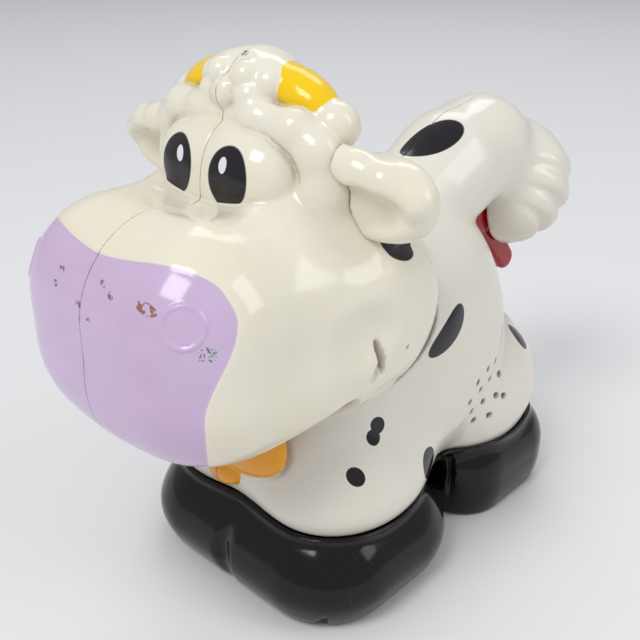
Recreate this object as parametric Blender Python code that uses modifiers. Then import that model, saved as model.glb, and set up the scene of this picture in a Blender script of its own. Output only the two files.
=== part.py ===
"""A toy flashlight shaped like a cow: squeezing the trigger under the tail lifts the head off the lamp.

The cow faces -Y and stands on its four hooves, with +Z up and the origin under its middle.
Forms are laid out in parts of the whole toy, which is 112 parts wide, 190 long and 155 high.
Its layout starts a little in front of its middle, and the last step moves every piece to the origin.
"""

import math

import bmesh
import bpy
from mathutils import Euler, Matrix, Vector

MM = 0.001

# Driving sizes
toy_width = 112 * MM
toy_length = 190 * MM
toy_height = 155 * MM
shell_wall = 2.4 * MM
seam_gap = 0.3 * MM
weld_gap = 0.01 * MM
fit_gap = 0.4 * MM
overrun = 60 * MM

# Head joint
cheek_radius = 23 * MM
cheek_half_width = 41 * MM
cheek_gap = 1.3 * MM
neck_radius = 19.4 * MM
neck_half_width = 36.6 * MM
neck_wall = 2.2 * MM
axle_radius = 2.2 * MM
axle_socket = 2 * MM
lever_thickness = 5 * MM

# Trigger
trigger_width = 11 * MM
trigger_thickness = 9 * MM
trigger_pin_radius = 1.6 * MM
trigger_pin_half = 11 * MM
link_width = 4 * MM
link_thickness = 3.2 * MM
link_pin_radius = 1.2 * MM
link_play = 0.4 * MM
trigger_slot_side = 1.5 * MM
spring_radius = 4 * MM
spring_wire = 0.7 * MM
spring_turns = 6
spring_points = 8

# Switch
switch_size = 8 * MM
plunger_radius = 1.5 * MM
plunger_travel = 3.6 * MM

# Lamp
lamp_radius = 17 * MM
lamp_wall = 1.6 * MM
lamp_length = 24 * MM
lens_thickness = 1.6 * MM
bulb_radius = 2.6 * MM
bulb_length = 9 * MM

# Batteries
cell_radius = 7.1 * MM
cell_length = 49 * MM
cell_nub_radius = 2.6 * MM
cell_nub_length = 1.2 * MM
tray_wall = 1.6 * MM
contact_thickness = 0.5 * MM
spring_contact_depth = 4 * MM
door_thickness = 2.4 * MM

# Sound
speaker_radius = 14 * MM
speaker_depth = 6 * MM
sound_hole_radius = 0.85 * MM
board_thickness = 1.6 * MM

# Screws
screw_radius = 1.4 * MM
screw_head_radius = 2.7 * MM
screw_head_height = 2 * MM
screw_length = 22 * MM
boss_radius = 4.2 * MM

# Parts of the whole toy
width_part = toy_width / 112
length_part = toy_length / 190
height_part = toy_height / 155

# Each form is a list of volumes as (kind, shares...), in parts of the toy's width, length and height.
# A ball has its middle and its three half sizes, and a turn in degrees.
# A rod has its two ends and their radii. A block has its middle, half sizes and edge radius.
head_shares = (
    ("block", (0, -60, 95), (39, 31.5, 30), 24),
    ("ball", (0, -50, 80), (37, 36, 18), (0, 0, 0)),
    ("ball", (15, -27, 95), (28, 25, 29), (0, 0, 0)),
    ("ball", (0, -31, 120), (32, 20.5, 24), (0, 0, 0)),
    ("ball", (10, -38, 125.5), (17.5, 18.5, 17.5), (0, 0, 0)),
    ("ball", (0, -31, 146), (14, 13, 9.5), (0, 0, 0)),
    ("rod", (0, -42, 145), (17, -40, 142), (4.5, 4.5)),
    ("rod", (17, -40, 142), (27, -35, 131), (4.5, 4.5)),
    ("rod", (27, -35, 131), (31, -30, 117), (4.5, 5)),
    ("rod", (12, -32, 143.5), (25.5, -31, 141.5), (6, 6)),
    ("rod", (13, -32.5, 148.5), (22.5, -31.5, 146.5), (6.4, 4)),
)
head_hollow_count = 5
ear_shares = (
    ("ball", (41, -30, 128.5), (15.5, 7, 12), (0, 10, -4)),
    ("rod", (26, -28, 124), (34, -29, 126), (8, 7)),
)
body_shares = (
    ("ball", (0, 11, 63), (38, 52, 51), (0, 0, 0)),
    ("block", (0, 6, 58), (33, 40, 31), 20),
    ("ball", (0, 0, 80), (38, 26, 21), (0, 0, 0)),
    ("ball", (0, -27, 44), (34, 24, 20), (0, 0, 0)),
    ("ball", (20, -20, 36), (22, 28, 15), (0, 0, 0)),
    ("ball", (17, 42, 39), (22.5, 29.5, 24.5), (0, 0, 0)),
    ("rod", (0, 26, 96), (0, 50, 110), (20, 17.5)),
    ("rod", (0, 50, 110), (0, 66, 113), (17.5, 17)),
    ("rod", (0, 66, 113), (0, 78, 104), (17, 17)),
    ("ball", (0, 82, 99), (26, 17.5, 22.5), (-18, 0, 0)),
)
front_hoof_shares = (("block", (0, -20, 4), (44, 32, 28), 21),)
rear_hoof_shares = (("block", (0, 45, 4), (39, 24, 27), 19),)
jaw_shares = (("ball", (0, -50, 92), (33.5, 34, 24), (0, 0, 0)),)

# Places, as shares in the same parts
middle_share = 4
pivot_shares = (0, -24, 94)
trigger_pivot_shares = (0, 50, 98)
trigger_tip_shares = (0, 84, 69)
trigger_knee_shares = (0, 66, 90)
crank_shares = (0, 46, 112)
lever_end_shares = (0, -18.3, 85.2)
lamp_shares = (0, -38, 92)
body_floor_share = 18
head_rim_shares = ((-96, 64), (-30, 81), (-30, 50), (-96, 50))
neck_cut_shares = ((-34, 102), (10, 102), (10, 60), (-34, 60))
deck_share = 66
deck_half_share = 28
deck_reach_shares = (-32, 4)
neck_root_half_share = 20
neck_root_reach_shares = (-28, 0)
crown_half_share = 33
rod_notch_share = 111
jaw_rim_share = 80
spring_foot_shares = (0, 65, 99)
spring_top_share = 119
switch_shares = (0, 39, 84)
speaker_shares = (26, 27, 52)
cell_height_share = 42
cell_front_share = 4
cradle_half_share = 24
cradle_shares = (22, 50)
board_shares = (0, 32, 57)
board_half_shares = (16, 17, 0)
board_post_half_share = 12
board_post_shares = (20, 44)
case_screw_shares = ((0, -31, 42), (0, 45, 26.5), (0, 28, 84), (0, 84, 112))
head_screw_shares = ((0, -66, 115), (0, -14, 127))
sound_hole_shares = ((20, 56), (26, 58), (32, 58), (17, 50), (23, 52), (29, 53), (35, 52))
sound_hole_shares += ((20, 45), (26, 46), (32, 46), (23, 40), (29, 40), (35, 45))

# Form meshing
form_voxel_share = 1 / 60
smooth_rounds = 6
outer_triangles = 1600
hollow_triangles = 900
hoof_triangles = 520
ear_triangles = 360
jaw_triangles = 420
round_sides = 20
small_sides = 10
sweep_sides = 40


def clear_scene():
    for obj in list(bpy.data.objects):
        bpy.data.objects.remove(obj, do_unlink=True)


def new_collection(name):
    collection = bpy.data.collections.new(name)
    bpy.context.scene.collection.children.link(collection)
    return collection


def at(shares):
    """The point at these shares of the toy."""
    return Vector((shares[0] * width_part, shares[1] * length_part, shares[2] * height_part))


def material(name, colour, roughness, metallic):
    made = bpy.data.materials.new(name)
    made.use_nodes = True
    shader = made.node_tree.nodes["Principled BSDF"]
    shader.inputs["Base Color"].default_value = (*colour, 1)
    shader.inputs["Roughness"].default_value = roughness
    shader.inputs["Metallic"].default_value = metallic
    made.diffuse_color = (*colour, 1)
    return made


def add_object(name, mesh, collection, finish=None):
    obj = bpy.data.objects.new(name, mesh)
    collection.objects.link(obj)
    if finish:
        mesh.materials.clear()
        mesh.materials.append(finish)
    if collection == cutters:
        obj.hide_render = True
        obj.display_type = "WIRE"
    return obj


def mesh_object(name, build, collection, finish=None):
    """An object from a function that fills a bmesh."""
    bm = bmesh.new()
    build(bm)
    bmesh.ops.recalc_face_normals(bm, faces=bm.faces)
    mesh = bpy.data.meshes.new(name)
    bm.to_mesh(mesh)
    bm.free()
    return add_object(name, mesh, collection, finish)


def bake(obj):
    """Applies the object's modifiers and welds its mesh."""
    graph = bpy.context.evaluated_depsgraph_get()
    graph.update()
    mesh = bpy.data.meshes.new_from_object(obj.evaluated_get(graph))
    finish = obj.data.materials[0] if obj.data.materials else None
    obj.modifiers.clear()
    obj.data = mesh
    mesh.materials.clear()
    if finish:
        mesh.materials.append(finish)
    mesh.name = obj.name
    return obj


def combine(obj, others, operation="DIFFERENCE"):
    """A Boolean of the object with each of the others in turn."""
    for other in others:
        step = obj.modifiers.new(operation.title(), "BOOLEAN")
        step.operation = operation
        step.solver = "EXACT"
        step.object = other
    return bake(obj)


def smooth(obj, degrees=35):
    obj.data.shade_smooth()
    obj.data.set_sharp_from_angle(angle=math.radians(degrees))


def box(name, low, high, collection, finish=None, edge=0.0):
    """A box between two corners, with rounded edges if an edge radius is given."""
    low, high = Vector(low), Vector(high)

    def build(bm):
        bmesh.ops.create_cube(bm, size=1)
        for vert in bm.verts:
            vert.co = Vector(a * b for a, b in zip(vert.co, high - low)) + (low + high) / 2

    obj = mesh_object(name, build, collection, finish)
    if edge:
        bevel = obj.modifiers.new("Edges", "BEVEL")
        bevel.width = edge
        bevel.segments = 2
        bake(obj)
    return obj


def bar(name, start, end, radius, collection, finish=None, sides=round_sides, end_radius=None):
    """A round bar or cone from one point to another."""
    start, end = Vector(start), Vector(end)
    run = end - start
    turn = run.to_track_quat("Z", "Y").to_matrix().to_4x4()
    place = Matrix.Translation((start + end) / 2) @ turn

    def build(bm):
        bmesh.ops.create_cone(
            bm,
            cap_ends=True,
            segments=sides,
            radius1=radius,
            radius2=radius if end_radius is None else end_radius,
            depth=run.length,
            matrix=place,
        )

    obj = mesh_object(name, build, collection, finish)
    smooth(obj)
    return obj


def across(name, centre, half_width, radius, sides=12):
    """A round cutter along X, through a point."""
    reach = Vector((half_width, 0, 0))
    return bar(name, centre - reach, centre + reach, radius, cutters, sides=sides)


def turned(name, outline, centre, axis, collection, finish=None, sides=24):
    """A turned piece: an outline of (radius, height) pairs, closed, turned about an axis."""
    turn = Vector(axis).to_track_quat("Z", "Y").to_matrix().to_4x4()
    place = Matrix.Translation(Vector(centre)) @ turn

    def build(bm):
        ring = [bm.verts.new((radius, 0, height)) for radius, height in outline]
        bm.faces.new(ring)

    obj = mesh_object(name, build, collection, finish)
    mesh = obj.data
    edges_only = bmesh.new()
    edges_only.from_mesh(mesh)
    bmesh.ops.delete(edges_only, geom=list(edges_only.faces), context="FACES_ONLY")
    edges_only.to_mesh(mesh)
    edges_only.free()
    screw = obj.modifiers.new("Turn", "SCREW")
    screw.steps = sides
    screw.render_steps = sides
    screw.use_merge_vertices = True
    screw.merge_threshold = weld_gap
    screw.use_normal_calculate = True
    bake(obj)
    bm = bmesh.new()
    bm.from_mesh(obj.data)
    bmesh.ops.remove_doubles(bm, verts=bm.verts, dist=weld_gap)
    bmesh.ops.recalc_face_normals(bm, faces=bm.faces)
    bm.transform(place)
    bm.to_mesh(obj.data)
    bm.free()
    smooth(obj)
    return obj


def slab(name, outline, half_width, collection, finish=None, edge=0.0, middle=0.0):
    """A flat (y, z) outline, given thickness along X about the middle."""

    def build(bm):
        face = bm.faces.new([bm.verts.new((middle - half_width, y, z)) for y, z in outline])
        made = bmesh.ops.extrude_face_region(bm, geom=[face])
        moved = [part for part in made["geom"] if isinstance(part, bmesh.types.BMVert)]
        bmesh.ops.translate(bm, vec=(2 * half_width, 0, 0), verts=moved)

    obj = mesh_object(name, build, collection, finish)
    if edge:
        bevel = obj.modifiers.new("Edges", "BEVEL")
        bevel.width = edge
        bevel.segments = 2
        bevel.angle_limit = math.radians(50)
        bake(obj)
    smooth(obj)
    return obj


def capsule_outline(start, end, start_radius, end_radius, steps=5):
    """The (y, z) outline round two circles and their common tangents."""
    (y0, z0), (y1, z1) = start, end
    run = math.hypot(y1 - y0, z1 - z0)
    heading = math.atan2(z1 - z0, y1 - y0)
    lean = math.acos((start_radius - end_radius) / run)
    points = []
    for step in range(steps + 1):
        turn = heading + lean + (math.tau - 2 * lean) * step / steps
        points.append((y0 + start_radius * math.cos(turn), z0 + start_radius * math.sin(turn)))
    for step in range(steps + 1):
        turn = heading - lean + 2 * lean * step / steps
        points.append((y1 + end_radius * math.cos(turn), z1 + end_radius * math.sin(turn)))
    return points


def sphere_points(centre, radii, turn=(0, 0, 0)):
    bm = bmesh.new()
    bmesh.ops.create_icosphere(bm, subdivisions=3, radius=1)
    spin = Euler([math.radians(angle) for angle in turn]).to_matrix()
    points = [spin @ Vector(a * b for a, b in zip(vert.co, radii)) + centre for vert in bm.verts]
    bm.free()
    return points


def add_hull(bm, points):
    verts = [bm.verts.new(point) for point in points]
    made = bmesh.ops.convex_hull(bm, input=verts)
    loose = {part for part in made["geom_interior"] if isinstance(part, bmesh.types.BMVert)}
    loose |= {part for part in made["geom_unused"] if isinstance(part, bmesh.types.BMVert)}
    bmesh.ops.delete(bm, geom=list(loose), context="VERTS")


def volume_points(volume, inset):
    """The points on the surface of one volume, moved in by the inset."""
    kind = volume[0]
    sizes = (width_part, length_part, height_part)
    part = sum(sizes) / 3
    if kind == "ball":
        radii = [share * size - inset for share, size in zip(volume[2], sizes)]
        return sphere_points(at(volume[1]), radii, volume[3])
    if kind == "rod":
        points = []
        for end, share in zip(volume[1:3], volume[3]):
            radius = share * part - inset
            points += sphere_points(at(end), (radius,) * 3)
        return points
    radius = volume[3] * part
    half = [share * size - radius for share, size in zip(volume[2], sizes)]
    points = []
    for sx in (-1, 1):
        for sy in (-1, 1):
            for sz in (-1, 1):
                corner = at(volume[1]) + Vector((sx * half[0], sy * half[1], sz * half[2]))
                points += sphere_points(corner, (radius - inset,) * 3)
    return points


def mirrored(points):
    return [Vector((-point.x, point.y, point.z)) for point in points]


def form(name, shares, inset, triangles, both_sides=True):
    """One smooth closed form from overlapping volumes, moved in by the inset."""

    def build(bm):
        for volume in shares:
            points = volume_points(volume, inset)
            add_hull(bm, points)
            if both_sides:
                add_hull(bm, mirrored(points))

    obj = mesh_object(name, build, cutters)
    remesh = obj.modifiers.new("Skin", "REMESH")
    remesh.mode = "VOXEL"
    remesh.voxel_size = toy_height * form_voxel_share
    relax = obj.modifiers.new("Relax", "SMOOTH")
    relax.factor = 0.5
    relax.iterations = smooth_rounds
    bake(obj)
    thin = obj.modifiers.new("Thin", "DECIMATE")
    thin.ratio = min(1, triangles / max(1, 2 * len(obj.data.polygons)))
    return bake(obj)


def copy_of(obj, name, collection, finish=None):
    return add_object(name, obj.data.copy(), collection, finish)


def half_box(name, side):
    """All space on one side of the seam."""
    near = seam_gap / 2
    low = (near if side > 0 else -overrun * 2, -overrun * 3, -overrun)
    high = (overrun * 2 if side > 0 else -near, overrun * 3, overrun * 4)
    return box(name, low, high, cutters)


def split_shell(whole, names, finish):
    """Left and right halves of a shell, cut at the seam."""
    for name, side in zip(names, (1, -1)):
        half = copy_of(whole, name, parts, finish)
        combine(half, [half_box(name + "_side", side)], "INTERSECT")
        drop_scraps(half)
        smooth(half)


def drop_scraps(obj):
    """Keeps the largest connected piece of a mesh."""
    bm = bmesh.new()
    bm.from_mesh(obj.data)
    bmesh.ops.remove_doubles(bm, verts=bm.verts, dist=weld_gap / 5)
    left = set(bm.faces)
    groups = []
    while left:
        first = left.pop()
        group = [first]
        stack = [first]
        while stack:
            for edge in stack.pop().edges:
                for face in edge.link_faces:
                    if face in left:
                        left.remove(face)
                        group.append(face)
                        stack.append(face)
        groups.append(group)
    groups.sort(key=len, reverse=True)
    for group in groups[1:]:
        bmesh.ops.delete(bm, geom=group, context="FACES")
    bmesh.ops.dissolve_degenerate(bm, dist=weld_gap, edges=bm.edges)
    bmesh.ops.recalc_face_normals(bm, faces=bm.faces)

    # The largest faces come first, so that the solid's outer side is read from a clear one
    bmesh.ops.triangulate(bm, faces=bm.faces)
    bm.faces.sort(key=lambda face: face.calc_area(), reverse=True)
    bm.to_mesh(obj.data)
    bm.free()


clear_scene()
parts = new_collection("toy_cow_flashlight")
cutters = new_collection("cutters")

cream = material("cream_plastic", (0.78, 0.74, 0.62), 0.25, 0)
dark = material("black_plastic", (0.02, 0.012, 0.014), 0.2, 0)
red = material("red_plastic", (0.35, 0.01, 0.02), 0.35, 0)
grey = material("grey_plastic", (0.25, 0.25, 0.26), 0.45, 0)
clear = material("clear_plastic", (0.85, 0.9, 0.95), 0.05, 0)
silver = material("reflector_silver", (0.8, 0.8, 0.82), 0.1, 1)
steel = material("steel", (0.55, 0.55, 0.56), 0.3, 1)
green = material("board_green", (0.02, 0.18, 0.06), 0.5, 0)
cell_finish = material("battery_jacket", (0.75, 0.5, 0.12), 0.35, 0)

pivot = at(pivot_shares)
trigger_pivot = at(trigger_pivot_shares)
crank = at(crank_shares)
lever_end = at(lever_end_shares)
lamp_back = at(lamp_shares)


def screw_bosses(places, prefix, reach):
    """Solid bosses along X, which the shell's hollow leaves standing."""
    bosses = []
    for index, shares in enumerate(places, 1):
        bosses.append(across(f"{prefix}_boss_{index}", at(shares), reach, boss_radius))
    return bosses


def screw_holes(places, prefix):
    """Clearance for each screw's shank, and its head's recess from the right side."""
    holes = []
    for index, shares in enumerate(places, 1):
        centre = at(shares)
        seat = centre - Vector((screw_length / 2, 0, 0))
        tip = centre + Vector((screw_length / 2 + fit_gap, 0, 0))
        mouth = seat - Vector((overrun, 0, 0))
        hole = (f"{prefix}_hole_{index}", seat, tip, screw_radius + fit_gap)
        sink = (f"{prefix}_sink_{index}", mouth, seat, screw_head_radius + fit_gap)
        for cut in (hole, sink):
            holes.append(bar(*cut, cutters, sides=small_sides))
    return holes


def make_screws(places, prefix):
    for index, shares in enumerate(places, 1):
        seat = at(shares) - Vector((screw_length / 2, 0, 0))
        outline = (
            (0, screw_length - fit_gap),
            (screw_radius, screw_length - fit_gap - screw_radius),
            (screw_radius, -fit_gap),
            (screw_head_radius, -fit_gap),
            (screw_head_radius, -fit_gap - screw_head_height * 0.6),
            (screw_head_radius * 0.7, -fit_gap - screw_head_height),
            (0, -fit_gap - screw_head_height),
        )
        turned(f"{prefix}_{index}", outline, seat, (1, 0, 0), parts, steel, sides=small_sides)


def make_body():
    outer = form("body_outer", body_shares, 0, outer_triangles)
    hollow = form("body_hollow", body_shares, shell_wall, hollow_triangles)
    floor = body_floor_share * height_part
    far = overrun * 2
    below = box("below_floor", (-far, -far, -far), (far, far, floor), cutters)
    below_hollow = box("below_hollow", (-far, -far, -far), (far, far, floor + shell_wall), cutters)
    combine(hollow, [below_hollow])

    # Ribs that the hollow leaves standing
    rib = shell_wall
    deck_top = deck_share * height_part - seam_gap
    deck_half = deck_half_share * width_part
    deck_front, deck_back = (share * length_part for share in deck_reach_shares)
    deck_low = (-deck_half, deck_front, deck_top - rib)
    deck = box("deck", deck_low, (deck_half, deck_back, deck_top), cutters)
    tray_base = cell_height_share * height_part - cell_radius - fit_gap - tray_wall - seam_gap
    cradle_half = cradle_half_share * width_part
    cradles = []
    for index, share in enumerate(cradle_shares, 1):
        y = share * length_part
        low = (-cradle_half, y - rib / 2, floor)
        cradles.append(box(f"cradle_{index}", low, (cradle_half, y + rib / 2, tray_base), cutters))
    switch = at(switch_shares)
    shelf_top = switch.z - switch_size / 2 - seam_gap
    shelf_low = (-far, switch.y - switch_size, shelf_top - rib)
    shelf = box("switch_shelf", shelf_low, (far, switch.y + switch_size, shelf_top), cutters)
    spring_foot = at(spring_foot_shares)
    post_low = Vector((0, spring_foot.y, spring_top_share * height_part + seam_gap))
    post_high = post_low + Vector((0, 0, far))
    post = bar("spring_post", post_low, post_high, spring_radius + rib / 2, cutters, sides=small_sides)
    speaker = at(speaker_shares)
    ring = bar("speaker_ring", speaker, speaker + Vector((far, 0, 0)), speaker_radius + rib / 2, cutters)
    bosses = screw_bosses(case_screw_shares, "case", far)
    pin_boss = across("trigger_pin_boss", trigger_pivot, far, trigger_pin_radius + rib)
    open_hollow = copy_of(hollow, "open_hollow", cutters)
    combine(hollow, [deck, *cradles, shelf, post, ring, *bosses, pin_boss])

    # Spaces that are open again inside those ribs
    ring_low = speaker - Vector((rib, 0, 0))
    ring_high = speaker + Vector((far, 0, 0))
    ring_inside = bar("speaker_ring_inside", ring_low, ring_high, speaker_radius - rib, cutters)
    combine(ring_inside, [open_hollow], "INTERSECT")

    whole = copy_of(outer, "body_whole", cutters)
    head_sweep = across("head_sweep", pivot, far, cheek_radius + cheek_gap, sweep_sides)
    crown_half = crown_half_share * width_part
    crown_sweep = across("crown_sweep", pivot, crown_half, cheek_radius + 6 * cheek_gap, sweep_sides)
    under_crown = box("under_crown", (-far, -far, -far), (far, far, pivot.z), cutters)
    combine(crown_sweep, [under_crown])
    slot = trigger_slot(trigger_width / 2 + trigger_slot_side)
    holes = screw_holes(case_screw_shares, "case")
    pin_hole = across("trigger_pin_hole", trigger_pivot, trigger_pin_half, trigger_pin_radius + fit_gap)
    door_space = box("door_space", *door_box(fit_gap, shell_wall * 3), cutters)
    tray_space = box("tray_space", *tray_box(fit_gap), cutters)
    jaw_space = form("jaw_space", jaw_shares, -2 * fit_gap, jaw_triangles)
    under_jaw = box("under_jaw", (-far, -far, -far), (far, far, deck_top + seam_gap), cutters)
    combine(jaw_space, [under_jaw])
    combine(whole, [below, hollow, ring_inside, head_sweep, crown_sweep, slot, *holes, pin_hole])
    combine(whole, [tray_space, door_space, jaw_space])
    sound = []
    for index, (share_y, share_z) in enumerate(sound_hole_shares, 1):
        inner = at((0, share_y, share_z)) + Vector((speaker.x, 0, 0))
        hole_end = inner + Vector((far, 0, 0))
        sound.append(bar(f"sound_hole_{index}", inner, hole_end, sound_hole_radius, cutters, sides=6))
    combine(whole, sound)
    split_shell(whole, ("body_left_shell", "body_right_shell"), cream)


def trigger_slot(half):
    """The space that the trigger swings through."""
    tip = at(trigger_tip_shares)
    reach = (tip - trigger_pivot).length + trigger_thickness
    start = math.atan2(tip.z - trigger_pivot.z, tip.y - trigger_pivot.y) - math.radians(12)
    sweep = math.radians(50)
    outline = [(trigger_pivot.y - trigger_thickness, trigger_pivot.z + trigger_thickness * 0.9)]
    outline.append((trigger_pivot.y - trigger_thickness * 0.2, trigger_pivot.z - trigger_thickness * 0.9))
    for step in range(9):
        turn = start + sweep * step / 8
        outline.append((trigger_pivot.y + reach * math.cos(turn), trigger_pivot.z + reach * math.sin(turn)))
    outline.append((trigger_pivot.y + trigger_thickness, trigger_pivot.z + trigger_thickness))
    return slab("trigger_slot", outline, half, cutters)


def tray_box(gap):
    half = 2 * cell_radius + 1.5 * fit_gap + tray_wall + gap
    base = cell_height_share * height_part - cell_radius - fit_gap - tray_wall
    front = cell_front_share * length_part
    ends = 2 * (tray_wall + contact_thickness + fit_gap)
    back = front + cell_length + cell_nub_length + ends + spring_contact_depth
    top = cell_height_share * height_part + cell_radius + fit_gap + tray_wall
    return (-half, front - gap, base - gap), (half, back + gap, top + gap)


def door_box(gap, extra):
    low, high = tray_box(0)
    front = high[1] + seam_gap
    back = front + door_thickness + gap + extra
    return (low[0] - gap, front - gap, low[2] - gap), (high[0] + gap, back, high[2] + gap)


def make_hooves():
    body_room = form("body_room", body_shares, -2 * fit_gap, outer_triangles)
    for name, shares in (("front_hooves", front_hoof_shares), ("rear_hooves", rear_hoof_shares)):
        hoof = form(name + "_form", shares, 0, hoof_triangles)
        hollow = form(name + "_hollow", shares, shell_wall * 1.5, hoof_triangles // 2)
        far = overrun * 2
        ground = box(name + "_ground", (-far, -far, -far), (far, far, 0), cutters)
        sole_top = shell_wall * 1.2
        sole = box(name + "_sole", (-far, -far, -far), (far, far, sole_top), cutters)
        combine(hollow, [sole])
        floor = body_floor_share * height_part
        inside = copy_of(body_room, name + "_inside", cutters)
        under = box(name + "_under", (-far, -far, -far), (far, far, floor - fit_gap), cutters)
        combine(inside, [under])
        lid = box(name + "_lid", (-far, -far, floor), (far, far, far), cutters)
        combine(hollow, [lid])
        piece = copy_of(hoof, name, parts, dark)
        combine(piece, [ground, inside, hollow])
        drop_scraps(piece)
        smooth(piece)


def make_head():
    outer = form("head_outer", head_shares, 0, outer_triangles)
    hollow = form("head_hollow", head_shares[:head_hollow_count], shell_wall, hollow_triangles)
    far = overrun * 2
    cheek = cheek_disc("cheek_disc", cheek_radius, cheek_half_width)
    combine(outer, [cheek], "UNION")
    bosses = screw_bosses(head_screw_shares, "head", far)
    combine(hollow, bosses)
    neck_room = cheek_disc("neck_room", cheek_radius - shell_wall, neck_half_width + fit_gap * 1.5)
    rim = slab("head_rim", [(y * length_part, z * height_part) for y, z in head_rim_shares], far, cutters)
    opening = [(y * length_part, z * height_part) for y, z in neck_cut_shares]
    rear = slab("head_rear_opening", opening, neck_half_width + fit_gap * 1.5, cutters)
    whole = copy_of(outer, "head_whole", cutters)
    axle_reach = neck_half_width + axle_socket
    axle_hole = across("axle_hole", pivot, axle_reach, axle_radius + fit_gap)
    holes = screw_holes(head_screw_shares, "head")
    notch_half = link_width / 2 + 4 * fit_gap
    notch_low = (-notch_half, pivot.y, pivot.z - cheek_radius)
    notch = box("rod_notch", notch_low, (notch_half, far, rod_notch_share * height_part), cutters)
    combine(whole, [hollow, neck_room, rim, rear, notch, axle_hole, *holes])
    split_shell(whole, ("head_left_shell", "head_right_shell"), cream)


def cheek_disc(name, radius, half_width):
    """A disc about the head's axis with soft rims."""
    soft = radius * 0.3
    outline = [(0, half_width)]
    for step in range(4):
        turn = math.pi / 2 * (1 - step / 3)
        outline.append((radius - soft + soft * math.cos(turn), half_width - soft + soft * math.sin(turn)))
    outline += [(r, -h) for r, h in reversed(outline)]
    return turned(name, outline, pivot, (1, 0, 0), cutters, sides=24)


def make_ears():
    head_room = form("head_room", head_shares, -2 * fit_gap, outer_triangles)
    for name, side in (("left_ear", 1), ("right_ear", -1)):
        def build(bm):
            for volume in ear_shares:
                points = volume_points(volume, 0)
                add_hull(bm, points if side > 0 else mirrored(points))

        ear = mesh_object(name + "_form", build, cutters)
        remesh = ear.modifiers.new("Skin", "REMESH")
        remesh.mode = "VOXEL"
        remesh.voxel_size = toy_height * form_voxel_share * 0.6
        relax = ear.modifiers.new("Relax", "SMOOTH")
        relax.iterations = smooth_rounds
        bake(ear)
        thin = ear.modifiers.new("Thin", "DECIMATE")
        thin.ratio = min(1, ear_triangles / (2 * len(ear.data.polygons)))
        bake(ear)
        piece = copy_of(ear, name, parts, cream)
        combine(piece, [head_room])
        drop_scraps(piece)
        smooth(piece)


def make_neck():
    """The drum that the head turns on, with the lamp's mouth at its front."""
    outer = cheek_disc("neck_outer", neck_radius, neck_half_width)
    hollow = cheek_disc("neck_hollow", neck_radius - neck_wall, neck_half_width - neck_wall)
    deck = deck_share * height_part
    root_half = neck_root_half_share * width_part
    root_front, root_back = (share * length_part for share in neck_root_reach_shares)
    root_top = pivot.z - neck_radius * 0.6
    root = box("neck_root", (-root_half, root_front, deck), (root_half, root_back, root_top), cutters)
    neck = copy_of(outer, "neck_drum", parts, cream)
    combine(neck, [root], "UNION")
    axle_hole = across("neck_axle_hole", pivot, overrun, axle_radius + fit_gap)
    mouth_end = lamp_back - Vector((0, overrun, 0))
    mouth = bar("lamp_mouth", lamp_back + Vector((0, fit_gap, 0)), mouth_end, lamp_radius + fit_gap, cutters)
    link_gate_half = link_width / 2 + 2 * fit_gap
    gate_low = (-link_gate_half, pivot.y + neck_radius * 0.5, pivot.z - neck_radius)
    gate_high = (link_gate_half, pivot.y + neck_radius * 2, pivot.z + neck_radius * 0.1)
    gate = box("link_gate", gate_low, gate_high, cutters)
    combine(neck, [hollow, axle_hole, mouth, gate])
    drop_scraps(neck)
    smooth(neck)


def make_jaw():
    """The mouth's floor, a shallow bowl under the lamp."""
    outer = form("jaw_outer", jaw_shares, 0, jaw_triangles)
    hollow = form("jaw_hollow", jaw_shares, neck_wall, jaw_triangles)
    far = overrun * 2
    rim_height = jaw_rim_share * height_part
    lamp_ends = (lamp_back + Vector((0, fit_gap, 0)), lamp_back - Vector((0, overrun, 0)))
    lamp_room = bar("jaw_lamp_room", *lamp_ends, lamp_radius + fit_gap, cutters)
    above = box("jaw_above", (-far, -far, rim_height), (far, far, far), cutters)
    drum_room = cheek_disc("jaw_drum_room", neck_radius + fit_gap, neck_half_width + fit_gap)
    root_half = neck_root_half_share * width_part + fit_gap
    root_low = (-root_half, neck_root_reach_shares[0] * length_part - fit_gap, 0)
    root_room = box("jaw_root_room", root_low, (root_half, far, pivot.z), cutters)
    deck = deck_share * height_part
    below = box("jaw_below", (-far, -far, -far), (far, far, deck + fit_gap), cutters)
    jaw = copy_of(outer, "lower_jaw", parts, cream)
    combine(jaw, [hollow, above, drum_room, root_room, below, lamp_room])
    drop_scraps(jaw)
    smooth(jaw)


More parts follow.
